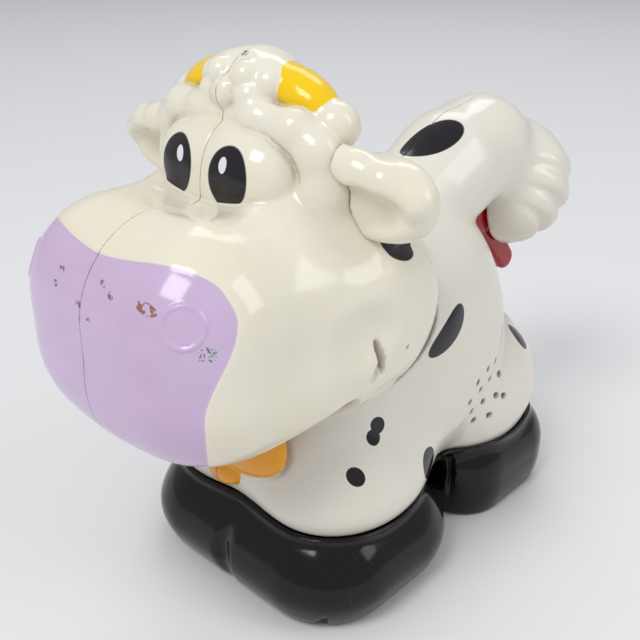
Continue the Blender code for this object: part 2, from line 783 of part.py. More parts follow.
def make_lamp():
    forward = (0, -1, 0)
    inner = lamp_radius - lamp_wall
    bore = bulb_radius + lamp_wall + 2 * fit_gap
    housing = (
        (bore, 0),
        (bore, lamp_wall),
        (inner, lamp_wall),
        (inner, lamp_length),
        (lamp_radius, lamp_length),
        (lamp_radius, 0),
    )
    turned("lamp_housing", housing, lamp_back, forward, parts, grey)
    lens_seat = lamp_length - lens_thickness - fit_gap
    edge = inner - fit_gap
    lens = (
        (0, lens_seat),
        (edge, lens_seat),
        (edge, lens_seat + lens_thickness * 0.6),
        (edge * 0.6, lens_seat + lens_thickness * 1.5),
        (0, lens_seat + lens_thickness * 1.9),
    )
    turned("lens", lens, lamp_back, forward, parts, clear)
    bowl = []
    bowl_depth = lens_seat - lamp_wall - 2 * fit_gap
    throat = bore
    steps = 5
    for step in range(steps + 1):
        share = step / steps
        bowl.append((throat + (edge - throat) * math.sqrt(share), lamp_wall + fit_gap + bowl_depth * share))
    skin = lamp_wall * 0.5
    outer_bowl = [(radius, height) for radius, height in reversed(bowl)]
    inner_bowl = []
    for index, (radius, height) in enumerate(bowl):
        inner_bowl.append((radius - skin, height + skin * (1 - index / steps)))
    turned("reflector", outer_bowl + inner_bowl, lamp_back, forward, parts, silver, sides=18)
    glass = (
        (0, lamp_wall),
        (bulb_radius, lamp_wall),
        (bulb_radius, bulb_length * 0.6),
        (bulb_radius * 0.7, bulb_length * 0.9),
        (0, bulb_length),
    )
    turned("bulb", glass, lamp_back, forward, parts, clear, sides=12)
    socket_inner = bulb_radius + fit_gap
    socket = (
        (0, -lamp_wall),
        (0, lamp_wall - fit_gap),
        (socket_inner, lamp_wall - fit_gap),
        (socket_inner, lamp_wall * 2),
        (bore - fit_gap - skin, lamp_wall * 2),
        (bore - fit_gap - skin, -lamp_wall),
    )
    turned("bulb_socket", socket, lamp_back, forward, parts, steel, sides=12)


def make_axle_and_lever():
    reach = neck_half_width + axle_socket - fit_gap
    axle_half = Vector((reach, 0, 0))
    bar("head_axle", pivot - axle_half, pivot + axle_half, axle_radius, parts, steel, sides=12)
    thickness = lever_thickness / 2
    eye = axle_radius + fit_gap / 2 + thickness * 0.8
    tip = link_pin_radius + thickness * 0.5
    outline = capsule_outline(pivot.yz, lever_end.yz, eye, tip)
    lever = slab("head_lever", outline, link_width, parts, grey)
    bore = across("lever_bore", pivot, overrun, axle_radius + fit_gap / 2)
    pin = across("lever_pin_bore", lever_end, overrun, link_pin_radius + fit_gap / 2, small_sides)
    fork_half = link_width / 2 + fit_gap
    fork_top = pivot.z - eye * 0.95
    fork_low = lever_end - Vector((fork_half, overrun, overrun))
    fork = box("lever_fork", fork_low, (fork_half, lever_end.y + overrun, fork_top), cutters)
    combine(lever, [bore, pin, fork])


def make_link():
    eye = link_pin_radius + link_thickness / 2
    outline = capsule_outline(crank.yz, lever_end.yz, eye, eye)
    link = slab("link_rod", outline, link_width / 2, parts, grey)
    bores = []
    for name, place, play in (("crank", crank, fit_gap / 2), ("lever", lever_end, link_play)):
        bores.append(across(f"link_{name}_bore", place, overrun, link_pin_radius + play))
        half = Vector((link_width, 0, 0))
        bar(f"{name}_pin", place - half, place + half, link_pin_radius, parts, steel, sides=small_sides)
    combine(link, bores)


def make_trigger():
    tip = at(trigger_tip_shares)
    knee = at(trigger_knee_shares)
    half = trigger_width / 2
    thick = trigger_thickness / 2
    crank_eye = link_pin_radius * 2.2
    blade = slab("trigger", capsule_outline(trigger_pivot.yz, knee.yz, thick, thick), half, parts, red)
    lower = slab("trigger_lower", capsule_outline(knee.yz, tip.yz, thick, thick * 0.9), half, cutters)
    arm_outline = capsule_outline(trigger_pivot.yz, crank.yz, thick * 0.8, crank_eye)
    arm = slab("trigger_arm", arm_outline, half * 0.8, cutters)
    spring_foot = at(spring_foot_shares)
    pad_low = (0, spring_foot.y, knee.z)
    pad_high = (0, spring_foot.y, spring_foot.z - seam_gap)
    pad = bar("trigger_pad", pad_low, pad_high, spring_radius, cutters, sides=12)
    lobe_end = (at(switch_shares).y, trigger_pivot.z - thick * 0.2)
    lobe_outline = capsule_outline(trigger_pivot.yz, lobe_end, thick * 0.8, thick * 0.5)
    lobe = slab("trigger_lobe", lobe_outline, half * 0.5, cutters)
    combine(blade, [lower, arm, pad, lobe], "UNION")
    bore = across("trigger_bore", trigger_pivot, overrun, trigger_pin_radius + fit_gap / 2)
    crank_bore = across("crank_bore", crank, overrun, link_pin_radius + fit_gap / 2, small_sides)
    fork_half = link_width / 2 + fit_gap
    fork_low = crank - Vector((fork_half, overrun / 2, crank_eye + 2 * fit_gap + link_thickness))
    fork_high = crank + Vector((fork_half, overrun / 4, overrun))
    fork = box("crank_fork", fork_low, fork_high, cutters)
    combine(blade, [bore, crank_bore, fork])
    drop_scraps(blade)
    smooth(blade)
    pin_half = Vector((trigger_pin_half - fit_gap, 0, 0))
    pin_ends = (trigger_pivot - pin_half, trigger_pivot + pin_half)
    bar("trigger_pin", *pin_ends, trigger_pin_radius, parts, steel, sides=12)


def make_return_spring():
    foot = at(spring_foot_shares)
    top = spring_top_share * height_part
    curve = bpy.data.curves.new("return_spring", "CURVE")
    curve.dimensions = "3D"
    curve.bevel_depth = spring_wire / 2
    curve.bevel_resolution = 1
    curve.use_fill_caps = True
    spline = curve.splines.new("POLY")
    count = spring_turns * spring_points + 1
    spline.points.add(count - 1)
    ring = spring_radius - spring_wire / 2
    low = foot.z + spring_wire / 2
    high = top - spring_wire / 2
    for index in range(count):
        turn = math.tau * index / spring_points
        rise = low + (high - low) * index / (count - 1)
        spline.points[index].co = (ring * math.cos(turn), foot.y + ring * math.sin(turn), rise, 1)
    coil = bpy.data.objects.new("return_spring_wire", curve)
    cutters.objects.link(coil)
    graph = bpy.context.evaluated_depsgraph_get()
    graph.update()
    mesh = bpy.data.meshes.new_from_object(coil.evaluated_get(graph))
    bpy.data.objects.remove(coil)
    bm = bmesh.new()
    bm.from_mesh(mesh)
    bmesh.ops.remove_doubles(bm, verts=bm.verts, dist=weld_gap / 5)
    bmesh.ops.recalc_face_normals(bm, faces=bm.faces)
    bm.to_mesh(mesh)
    bm.free()
    spring = add_object("return_spring", mesh, parts, steel)
    smooth(spring, 60)


def make_switch():
    centre = at(switch_shares)
    half = switch_size / 2
    corner = Vector((half, half, half))
    body = box("switch_body", centre - corner, centre + corner, parts, grey)
    bore_low = centre - Vector((0, 0, half * 0.4))
    bore_high = centre + Vector((0, 0, overrun))
    bore = bar("plunger_bore", bore_low, bore_high, plunger_radius + fit_gap, cutters, sides=small_sides)
    combine(body, [bore])
    lobe_under = trigger_pivot.z - trigger_thickness * 0.35 - seam_gap
    foot = centre + Vector((0, 0, plunger_travel - half * 0.4 + fit_gap))
    bar("switch_plunger", foot, (0, centre.y, lobe_under), plunger_radius, parts, red, sides=small_sides)


def make_cell(index, side, front, back):
    """A cell with a flat contact at one end and a sprung one at the other."""
    x = side * (cell_radius + fit_gap / 2)
    z = cell_height_share * height_part
    half = cell_radius * 0.7
    plate_front = front + fit_gap / 2
    plate_back = plate_front + contact_thickness * 0.6
    rear_plate = back - contact_thickness
    front_plate = ((x - half, plate_front, z - half), (x + half, plate_back, z + half))
    back_plate = ((x - half, rear_plate, z - half), (x + half, back, z + half))
    whole_cell = cell_length + cell_nub_length
    cell_front = front + contact_thickness + fit_gap
    if side > 0:
        cell_front += spring_contact_depth
        base_y = cell_front
        spring_y = plate_back - contact_thickness * 0.3
        flat, sprung = back_plate, front_plate
    else:
        base_y = cell_front + whole_cell
        spring_y = rear_plate + contact_thickness * 0.3
        flat, sprung = front_plate, back_plate
    outline = (
        (0, 0),
        (cell_radius, 0),
        (cell_radius, cell_length),
        (cell_nub_radius, cell_length),
        (cell_nub_radius, whole_cell),
        (0, whole_cell),
    )
    base = Vector((x, base_y, z))
    turned(f"battery_{index}", outline, base, (0, side, 0), parts, cell_finish, sides=16)
    box(f"contact_plate_{index}", *flat, parts, steel)
    plate = box(f"contact_spring_{index}", *sprung, parts, steel)
    cone_foot = Vector((x, spring_y, z))
    cone_top = base - Vector((0, side * seam_gap, 0))
    top_radius = cell_radius * 0.25
    cone_radii = {"radius": 2 * top_radius, "end_radius": top_radius}
    cone = bar(f"contact_cone_{index}", cone_foot, cone_top, collection=cutters, sides=12, **cone_radii)
    combine(plate, [cone], "UNION")


def make_power():
    low, high = (Vector(corner) for corner in tray_box(0))
    tray = box("battery_tray", low, high, parts, grey)
    wall = Vector((tray_wall, tray_wall, tray_wall))
    inside_high = Vector((high.x - tray_wall, high.y + overrun, high.z - tray_wall))
    inside = box("tray_inside", low + wall, inside_high, cutters)
    post_top = board_shares[2] * height_part - board_thickness / 2 - seam_gap
    posts = []
    for share in board_post_shares:
        for side in (-1, 1):
            x = side * board_post_half_share * width_part
            foot = Vector((x, share * length_part, high.z - tray_wall / 2))
            name = f"tray_post_{len(posts) + 1}"
            posts.append(bar(name, foot, (foot.x, foot.y, post_top), tray_wall, cutters, sides=small_sides))
    combine(tray, posts, "UNION")
    combine(tray, [inside])
    for index, side in enumerate((-1, 1), 1):
        make_cell(index, side, low.y + tray_wall, high.y - contact_thickness)
    door = box("battery_door", *door_box(0, 0), parts, cream)
    door_low, door_high = door_box(0, 0)
    screw_at = Vector((0, door_high[1], (door_low[2] + door_high[2]) / 2))
    reach = Vector((0, overrun / 4, 0))
    hole_radius = screw_radius + fit_gap
    hole = bar("door_screw_hole", screw_at - reach, screw_at + reach, hole_radius, cutters, sides=small_sides)
    combine(door, [hole])
    outline = (
        (0, door_thickness),
        (screw_radius, door_thickness),
        (screw_radius, -fit_gap / 2),
        (screw_head_radius, -fit_gap / 2),
        (screw_head_radius * 0.7, -fit_gap / 2 - screw_head_height * 0.6),
        (0, -fit_gap / 2 - screw_head_height * 0.6),
    )
    turned("door_screw", outline, screw_at, (0, -1, 0), parts, steel, sides=small_sides)
    board = at(board_shares)
    board_half = at(board_half_shares)
    lift = Vector((0, 0, board_thickness / 2))
    box("circuit_board", board - board_half - lift, board + board_half + lift, parts, green)
    chip = board + lift + Vector((0, -board_half.y / 3, seam_gap))
    dome = ((0, 0), (board_half.x / 3, 0), (board_half.x / 4, board_thickness), (0, board_thickness))
    turned("sound_chip", dome, chip, (0, 0, 1), parts, dark, sides=12)


def make_speaker():
    face = at(speaker_shares) - Vector((seam_gap, 0, 0))
    outline = (
        (0, -speaker_depth),
        (speaker_radius * 0.5, -speaker_depth),
        (speaker_radius * 0.5, -speaker_depth * 0.6),
        (speaker_radius, -speaker_depth * 0.25),
        (speaker_radius, 0),
        (speaker_radius * 0.85, 0),
        (speaker_radius * 0.35, -speaker_depth * 0.35),
        (0, -speaker_depth * 0.25),
    )
    turned("speaker", outline, face, (1, 0, 0), parts, dark)


def place_origins():
    """Puts each moving piece's origin on its joint, and the toy's middle over the world's origin."""
    homes = {
        "head_axle": pivot,
        "head_lever": pivot,
        "head_left_shell": pivot,
        "head_right_shell": pivot,
        "head_screw_1": pivot,
        "head_screw_2": pivot,
        "left_ear": pivot,
        "right_ear": pivot,
        "lever_pin": lever_end,
        "link_rod": crank,
        "crank_pin": crank,
        "trigger": trigger_pivot,
        "trigger_pin": trigger_pivot,
        "switch_plunger": at(switch_shares),
    }
    to_middle = Vector((0, -middle_share * length_part, 0))
    for obj in parts.objects:
        home = homes.get(obj.name, -to_middle)
        obj.data.transform(Matrix.Translation(-home))
        obj.location = home + to_middle
    for obj in cutters.objects:
        obj.location = to_middle


make_body()
make_hooves()
make_head()
make_ears()
make_neck()
make_jaw()
make_lamp()
make_axle_and_lever()
make_link()
make_trigger()
make_return_spring()
make_switch()
make_power()
make_speaker()
make_screws(case_screw_shares, "case_screw")
make_screws(head_screw_shares, "head_screw")
place_origins()
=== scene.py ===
"""The look of a toy flashlight shaped like a cow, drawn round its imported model.

Forms are laid out in millimetres: the cow faces -Y, +Z is up and X = 0 is the mould's parting plane.
The layout's Y starts 4 mm in front of the toy's middle, as the model's own source does.
"""

import math
from concurrent.futures import ThreadPoolExecutor

import bpy
import numpy as np
from mathutils import Matrix, Vector


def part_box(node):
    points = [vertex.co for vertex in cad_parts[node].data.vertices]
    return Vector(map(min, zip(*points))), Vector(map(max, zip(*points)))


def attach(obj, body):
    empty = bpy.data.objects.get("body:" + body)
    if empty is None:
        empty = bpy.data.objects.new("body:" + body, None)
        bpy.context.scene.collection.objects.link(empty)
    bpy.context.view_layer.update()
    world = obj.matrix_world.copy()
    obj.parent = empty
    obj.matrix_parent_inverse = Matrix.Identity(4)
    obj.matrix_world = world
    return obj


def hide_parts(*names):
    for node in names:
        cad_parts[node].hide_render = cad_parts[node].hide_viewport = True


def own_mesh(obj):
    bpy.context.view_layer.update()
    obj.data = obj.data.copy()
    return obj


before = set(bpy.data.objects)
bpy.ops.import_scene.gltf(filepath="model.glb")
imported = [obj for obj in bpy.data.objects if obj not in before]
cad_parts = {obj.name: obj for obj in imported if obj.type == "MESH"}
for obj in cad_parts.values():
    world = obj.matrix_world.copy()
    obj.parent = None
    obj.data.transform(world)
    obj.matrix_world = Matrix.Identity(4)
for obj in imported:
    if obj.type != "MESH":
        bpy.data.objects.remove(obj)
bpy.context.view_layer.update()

MM = 0.001
MIDDLE = 4.0

# Moulding sizes, in millimetres
WALL = 2.4
SEAM = 0.07
SEAM_EDGE = 0.25
PIVOT = (0, -24, 94)
CHEEK_RADIUS = 23.0
CHEEK_HALF = 41.0
DRUM_HALF = 36.6
BODY_BOTTOM = 18.0
ARCH_RADIUS = 13.5
NOTCH_RADIUS = 6.0
BOSS_RADIUS = 4.2
SINK_RADIUS = 3.1
SHANK_RADIUS = 1.8
NOSTRIL = (29.5, -84.5, 109.4)
NOSTRIL_RADIUS = 4.7
TRIGGER_PIVOT = (50, 98)
CRANK_PIN = (46, 112)
SPRING_TURNS = 8
SPRING_WIRE = 0.7
TUFT = ((0, 82, 99), (26, 17.5, 22.5), (-18, 0, 0))
# The screws' places as Y and Z, because every screw lies along X
HEAD_SCREWS = ((-66, 115), (-14, 127))
CASE_SCREWS = ((-31, 42), (45, 26.5), (28, 84), (84, 112))
# A reach that is past every point of the toy
FAR = 200.0

CORES = 4
crew = ThreadPoolExecutor(CORES)


# Volumes, each a signed distance in millimetres that is negative inside


def turned(points, centre, turn):
    """Points seen from a volume's own middle and turn, in degrees about X, Y and Z."""
    local = points - np.array(centre, float)
    if not any(turn):
        return local
    x, y, z = np.radians(turn)
    about_x = np.array([[1, 0, 0], [0, math.cos(x), -math.sin(x)], [0, math.sin(x), math.cos(x)]])
    about_y = np.array([[math.cos(y), 0, math.sin(y)], [0, 1, 0], [-math.sin(y), 0, math.cos(y)]])
    about_z = np.array([[math.cos(z), -math.sin(z), 0], [math.sin(z), math.cos(z), 0], [0, 0, 1]])
    return local @ (about_z @ about_y @ about_x)


def ball(points, centre, radii, turn=(0, 0, 0), power=2.0):
    """An egg; a power above 2 squares it off."""
    radii = np.array(radii, float)
    share = np.abs(turned(points, centre, turn)) / radii + 1e-6
    size = (share**power).sum(1) ** (1 / power)
    slope = np.sqrt(((share ** (power - 1) / radii) ** 2).sum(1)) / size ** (power - 1)
    return (size - 1) / slope


def rod(points, start, end, start_radius, end_radius):
    start, end = np.array(start, float), np.array(end, float)
    run = end - start
    along = np.clip((points - start) @ run / (run @ run), 0, 1)
    away = points - start - along[:, None] * run
    return np.sqrt((away * away).sum(1)) - (start_radius + (end_radius - start_radius) * along)


def block(points, centre, half, edge, turn=(0, 0, 0)):
    """A box with rounded edges."""
    out = np.abs(turned(points, centre, turn)) - (np.array(half, float) - edge)
    return np.sqrt((np.maximum(out, 0) ** 2).sum(1)) + np.minimum(out.max(1), 0) - edge


def off_line(points, y, z):
    """Distance from a line along X."""
    return np.hypot(points[:, 1] - y, points[:, 2] - z)


def rounded(outline, side, edge):
    """An outline and its two sides as one volume with rounded edges."""
    corner = np.hypot(np.maximum(outline, 0), np.maximum(side, 0))
    return corner + np.minimum(np.maximum(outline, side), 0) - edge


def disc(points, centre, radius, half, edge):
    """A round disc across X with rounded rims."""
    reach = off_line(points, centre[1], centre[2]) - (radius - edge)
    return rounded(reach, np.abs(points[:, 0] - centre[0]) - (half - edge), edge)


def join(a, b, soft):
    """Two volumes as one, blended over a soft width."""
    near = np.maximum(soft - np.abs(a - b), 0) / soft
    return np.minimum(a, b) - near * near * soft * 0.25


def common(a, b, soft):
    """What two volumes share."""
    return -join(-a, -b, soft)


def cut(a, b, soft):
    """The first volume without the second."""
    return -join(-a, b, soft)


def measured(field, points):
    """A volume at many points, shared out between the processor's cores."""
    parts = np.array_split(points, 4 * CORES)
    return np.concatenate(list(crew.map(field, parts)))


def slope_of(field, points, reach):
    columns = []
    for axis in np.eye(3) * reach:
        columns.append(measured(field, points + axis) - measured(field, points - axis))
    return np.stack(columns, 1) / (2 * reach)


# Meshes from volumes


# Grid lines at the start of a half piece, whose flat face lies on the second one
PARTING_STEPS = np.array([0, 0.3, 0.42, 0.6, 0.9, 1.3, 1.8])


def steps_between(low, high, step, parting=False, close=None):
    """Grid lines from low to high, closer together at the parting plane and along a stretch."""
    ends = low + PARTING_STEPS if parting else np.array([low])
    start, end, fine = close or (high, high, step)
    before = np.arange(ends[-1] + step, start, step)
    return np.concatenate([ends, before, np.arange(start, end, fine), np.arange(end, high + step, step)])


def surface(field, axes):
    """The zero level of a volume as points and four-sided faces, pulled onto the volume."""
    rounds, reach, least_slope, longest = 4, 0.03, 0.2, 0.5
    xs, ys, zs = axes
    ny, nz = len(ys), len(zs)
    yy, zz = (a.ravel() for a in np.meshgrid(ys, zs, indexing="ij"))

    def level(x):
        slab = np.stack([np.full(ny * nz, x), yy, zz], 1)
        return field(slab).reshape(ny, nz)

    value = np.stack(list(crew.map(level, xs)))
    inside = value < 0
    corners = [(i, j, k) for i in (0, 1) for j in (0, 1) for k in (0, 1)]
    part = {}
    for i, j, k in corners:
        part[i, j, k] = inside[i : len(xs) - 1 + i, j : ny - 1 + j, k : nz - 1 + k]
    count = sum(part[c].astype(np.int8) for c in corners)
    cells = np.argwhere((count > 0) & (count < 8))
    total = np.zeros((len(cells), 3))
    hits = np.zeros(len(cells))
    for a in corners:
        for axis in range(3):
            if a[axis]:
                continue
            b = tuple(v + (n == axis) for n, v in enumerate(a))
            ia, ib = cells + a, cells + b
            va, vb = value[tuple(ia.T)], value[tuple(ib.T)]
            crossed = (va < 0) != (vb < 0)
            share = np.where(crossed, va / np.where(crossed, va - vb, 1), 0)
            start = np.stack([xs[ia[:, 0]], ys[ia[:, 1]], zs[ia[:, 2]]], 1)
            end = np.stack([xs[ib[:, 0]], ys[ib[:, 1]], zs[ib[:, 2]]], 1)
            total += np.where(crossed[:, None], start + share[:, None] * (end - start), 0)
            hits += crossed
    points = total / hits[:, None]
    number = np.full(count.shape, -1, int)
    number[tuple(cells.T)] = np.arange(len(cells))
    faces = []
    for axis in range(3):
        one, two = (axis + 1) % 3, (axis + 2) % 3
        low = [slice(None)] * 3
        high = [slice(None)] * 3
        low[axis], high[axis] = slice(0, -1), slice(1, None)
        edges = np.argwhere(inside[tuple(low)] != inside[tuple(high)])
        edges = edges[(edges[:, one] > 0) & (edges[:, two] > 0)]
        edges = edges[(edges[:, one] < value.shape[one] - 1) & (edges[:, two] < value.shape[two] - 1)]
        ring = []
        for da, db in ((1, 1), (0, 1), (0, 0), (1, 0)):
            cell = edges.copy()
            cell[:, one] -= da
            cell[:, two] -= db
            ring.append(number[tuple(cell.T)])
        ring = np.stack(ring, 1)
        outward = inside[tuple(edges.T)]
        ring[outward] = ring[outward]
        ring[~outward] = ring[~outward][:, ::-1]
        faces.append(ring)
    faces = np.concatenate(faces)
    for turn in range(rounds):
        if turn in (1, 2):
            points = relaxed(points, faces)
        slope = slope_of(field, points, reach)
        height = measured(field, points)
        move = -(height / np.maximum((slope * slope).sum(1), least_slope))[:, None] * slope
        far = np.linalg.norm(move, axis=1, keepdims=True)
        points = points + move * np.minimum(1, longest / np.maximum(far, 1e-9))
    return points, faces


def relaxed(points, faces):
    """Each point halfway to the middle of its neighbours."""
    total = np.zeros_like(points)
    hits = np.zeros(len(points))
    for a, b in ((0, 1), (1, 2), (2, 3), (3, 0)):
        np.add.at(total, faces[:, a], points[faces[:, b]])
        np.add.at(hits, faces[:, a], 1)
        np.add.at(total, faces[:, b], points[faces[:, a]])
        np.add.at(hits, faces[:, b], 1)
    return points + 0.5 * (total / np.maximum(hits, 1)[:, None] - points)


def skin(name, field, box, step, side=0, marks=(), halved=True, close=(None, None, None)):
    """A piece from a volume that is laid out for the cow's left. side -1 makes its mirror image.

    A halved piece ends at the parting plane. close has the finer stretches along Y, Z and X. Marks are
    measures kept at each point for the finishes, and "hollow" is one that is high in dents and creases.
    """
    low, high = box
    normal_reach, hollow_reach = 0.05, 2
    flip = np.array([-1.0 if side < 0 else 1.0, 1, 1])
    halved = halved and side

    def volume(points):
        value = field(points)
        if halved:
            value = common(value, SEAM - points[:, 0], SEAM_EDGE)
        return value

    axes = (
        steps_between(SEAM - PARTING_STEPS[1] if halved else low[0], high[0], step, halved, close[2]),
        steps_between(low[1], high[1], step, close=close[0]),
        steps_between(low[2], high[2], step, close=close[1]),
    )
    points, faces = surface(volume, axes)
    normals = slope_of(volume, points, normal_reach)
    normals /= np.maximum(np.linalg.norm(normals, axis=1, keepdims=True), 1e-9)
    values = {"hollow": 1 - measured(field, points + normals * hollow_reach) / hollow_reach}
    for mark, measure in marks:
        values[mark] = measure(points)
    if side < 0:
        faces = faces[:, ::-1]
    place = (points * flip - (0, MIDDLE, 0)) * MM
    mesh = bpy.data.meshes.new(name)
    mesh.vertices.add(len(place))
    mesh.vertices.foreach_set("co", place.ravel())
    mesh.loops.add(faces.size)
    mesh.loops.foreach_set("vertex_index", faces.ravel())
    mesh.polygons.add(len(faces))
    mesh.polygons.foreach_set("loop_start", np.arange(len(faces)) * 4)
    mesh.update(calc_edges=True)
    mesh.validate()
    for mark, value in values.items():
        mesh.attributes.new(mark, "FLOAT", "POINT").data.foreach_set("value", value)
    mesh.shade_smooth()
    if len(mesh.vertices) == len(place):
        mesh.normals_split_custom_set_from_vertices(normals * flip)
    piece = bpy.data.objects.new(name, mesh)
    bpy.context.scene.collection.objects.link(piece)
    return piece


# Head


def eye_dome(p):
    dome = ball(p, (7.6, -36.7, 127.3), (15.2, 16.9, 15.6), (0, 14, 0), 2.7)
    return join(dome, ball(p, (0, -36.7, 126.5), (12, 16.2, 15.4)), 4)


def horn_form(p):
    horn = ball(p, (15.2, -33.5, 148.3), (11.3, 6.2, 5.5), (0, 22, 0), 2.2)
    return common(horn, 8 - p[:, 0], 2)


def head_plain(p):
    """The head without its small features."""
    head = block(p, (0, -60, 95), (39, 31.5, 30), 24)
    head = join(head, ball(p, (0, -50, 80), (37, 36, 18)), 12)
    head = join(head, ball(p, (15, -27, 95), (28, 25, 29)), 16)
    return join(head, ball(p, (0, -31, 120), (32, 20.5, 24)), 9)


def rear_boss(p):
    """The ridge on the back of the head that covers the rear screw."""
    return rod(p, (0, -14.5, 127), (14, -15, 126.5), 4.6, 4.6)


def hair_form(p):
    hair = ball(p, (0, -33, 148.6), (12.4, 11.4, 9.4))
    hair = join(hair, ball(p, (6.5, -36.5, 149), (7, 7, 7)), 3)
    curls = (
        ((4.3, -41.4, 152.2), 3.8),
        ((0, -43.4, 148.4), 4.1),
        ((6.3, -42, 147.8), 4.0),
        ((9.6, -38.6, 151), 3.6),
    )
    for centre, radius in curls:
        hair = join(hair, ball(p, centre, (radius, radius, radius)), 0.8)
    return hair


def brow_form(p):
    brow = rod(p, (0, -42.2, 142.4), (9, -42.6, 143.4), 3.3, 3.9)
    brow = join(brow, rod(p, (9, -42.6, 143.4), (20, -41, 142), 3.9, 4.3), 3)
    brow = join(brow, rod(p, (20, -41, 142), (25.6, -39, 137.5), 4.3, 5), 3)
    brow = join(brow, rod(p, (25.6, -39, 137.5), (26.4, -37.4, 128), 5, 5.8), 3)
    return join(brow, rod(p, (26.4, -37.4, 128), (25, -36, 115), 5.8, 6.4), 3)


def head_no_eyes(p):
    head = join(head_plain(p), disc(p, PIVOT, CHEEK_RADIUS, CHEEK_HALF, 12), 6)
    head = join(head, rear_boss(p), 4)
    head = cut(head, bridge_form(p), 5)
    head = join(head, brow_form(p), 1.8)
    head = join(head, hair_form(p), 1.6)
    head = join(head, rod(p, (12, -34, 143), (25.4, -32.8, 142.4), 5.8, 5.9), 1.2)
    # A soft groove inside the cheek's rear edge, which leaves a lip
    groove_radius, groove_width, groove_depth = 18.6, 1.4, 0.8
    away = np.abs(off_line(p, *PIVOT[1:]) - groove_radius)
    groove = np.exp(-((away / groove_width) ** 2))
    groove = groove * np.clip((p[:, 1] + 32) / 8, 0, 1) * np.clip((p[:, 0] - 26) / 6, 0, 1)
    head = cut(head + groove_depth * groove, dimple_form(p), 5)
    return cut(head, crease_form(p), 1.2)


def bridge_form(p):
    """The dip of the muzzle's bridge in front of the eyes."""
    return ball(p, (0, -58, 136), (22, 12, 12.4))


def dimple_form(p):
    """The hollow in front of the smile's corner."""
    return ball(p, (50.6, -41, 95.5), (9.8, 12, 9), (0, 0, 10))


def crease_form(p):
    """The smile's crease, from its corner down towards the rim."""
    crease = ball(p, (43.6, -34.4, 88.2), (5.2, 1.1, 5.0), (10, 0, 0))
    return join(crease, rod(p, (43.4, -35.4, 85), (42.6, -36.8, 81.5), 1.2, 0.6), 1)


def muzzle_mark(p):
    """Signed distance along the skin to the painted muzzle's outline: negative on the paint."""
    mm_per_degree = 0.419
    forward = np.maximum(-p[:, 1] - 67.5, 0.01)
    around = np.degrees(np.arctan2(np.maximum(np.abs(p[:, 0]) - 15, 0), forward))
    rise = np.degrees(np.arctan2(p[:, 2] - 101, forward))
    height = np.clip((p[:, 2] - 86) / 26, 0, 1)
    side = around - 49.5 - 22 * height * height * (3 - 2 * height)
    outward = np.clip(np.abs(p[:, 0]) / 32, 0, 1)
    top = rise - 46 - 18 * outward**1.6
    return common(mm_per_degree * side, mm_per_degree * top, 6)


def nostril_mark(p):
    """Distance from the nostril's ring."""
    away = p - NOSTRIL
    return np.abs(np.sqrt((away * away).sum(1)) - NOSTRIL_RADIUS)


def head_form(p):
    head = join(head_no_eyes(p), horn_form(p), 1.0)
    head = join(head, eye_dome(p), 0.9)
    # The skin round the painted muzzle stands a little proud of it
    step_width, step_height = 0.8, 0.13
    head = head - step_height * np.clip(muzzle_mark(p) / step_width, -1, 1)
    ring_width, ring_height = 1.0, 0.42
    ring = np.clip(1 - nostril_mark(p) / ring_width, 0, 1)
    return head - ring_height * ring * ring * (3 - 2 * ring)


def screw_bosses(p, places):
    """Solid posts round the screws."""
    away = FAR
    for y, z in places:
        away = np.minimum(away, off_line(p, y, z))
    return away - BOSS_RADIUS


def rim_space(p):
    """What the head's open underside leaves out, below a slanting rim."""
    slant_cosine = 0.968
    line = (p[:, 2] - 64 - (p[:, 1] + 96) * 17 / 66) * slant_cosine
    return common(line, p[:, 1] + 37, 9)


def head_half(p):
    hollow = head_plain(p) + WALL
    hollow = join(hollow, eye_dome(p) + WALL, 1.5)
    dents = np.minimum(np.minimum(dimple_form(p), crease_form(p)), bridge_form(p))
    hollow = cut(hollow, dents - WALL, 4)
    hollow = cut(hollow, screw_bosses(p, HEAD_SCREWS), 0.8)
    shell = cut(head_form(p), hollow, 0.4)
    room = disc(p, PIVOT, CHEEK_RADIUS - WALL, DRUM_HALF + 0.6, 5)
    opening = block(p, (0, -12, 81), (DRUM_HALF + 0.6, 22, 21), 0.4)
    shell = cut(shell, np.minimum(room, opening), 1.2)
    shell = cut(shell, rim_space(p), 1.1)
    notch = block(p, (0, 76, 91), (3.6, 100, 20), 0.3)
    shell = cut(shell, notch, 0.5)
    axle = common(off_line(p, *PIVOT[1:]) - 2.6, p[:, 0] - 38.6, 0.2)
    return cut(shell, axle, 0.3)


def screw_ways(p, places):
    """Recesses for the screws' heads, and clearance for their shanks, in the right half."""
    ways = FAR
    for y, z in places:
        away = off_line(p, y, z)
        sink = common(away - SINK_RADIUS, 11 - p[:, 0], 0.2)
        ways = np.minimum(ways, np.minimum(sink, away - SHANK_RADIUS))
    return ways


def head_right(p):
    return cut(head_half(p), screw_ways(p, HEAD_SCREWS), 0.4)


# Ears


def ear_form(p):
    leaf = ball(p, (37.6, -30.5, 127.1), (17.4, 6, 10.6), (0, -6, -4), 2.3)
    fold = rod(p, (27.5, -37.6, 137.2), (36, -36.6, 134.6), 3.6, 4.3)
    fold = join(fold, rod(p, (36, -36.6, 134.6), (43, -35.8, 133), 4.3, 4.3), 3)
    fold = join(fold, rod(p, (43, -35.8, 133), (50.8, -34, 129.4), 4.3, 3.8), 3)
    leaf = join(leaf, fold, 2.5)
    bowl = ball(p, (37, -40, 124.4), (14.5, 7.2, 6.8), (0, -7, -4))
    leaf = cut(leaf, bowl, 2.5)
    leaf = join(leaf, rod(p, (24, -29, 125), (33, -29, 126), 8.5, 7), 4)
    return cut(leaf, head_form(p) - 0.2, 0.3)


# Body


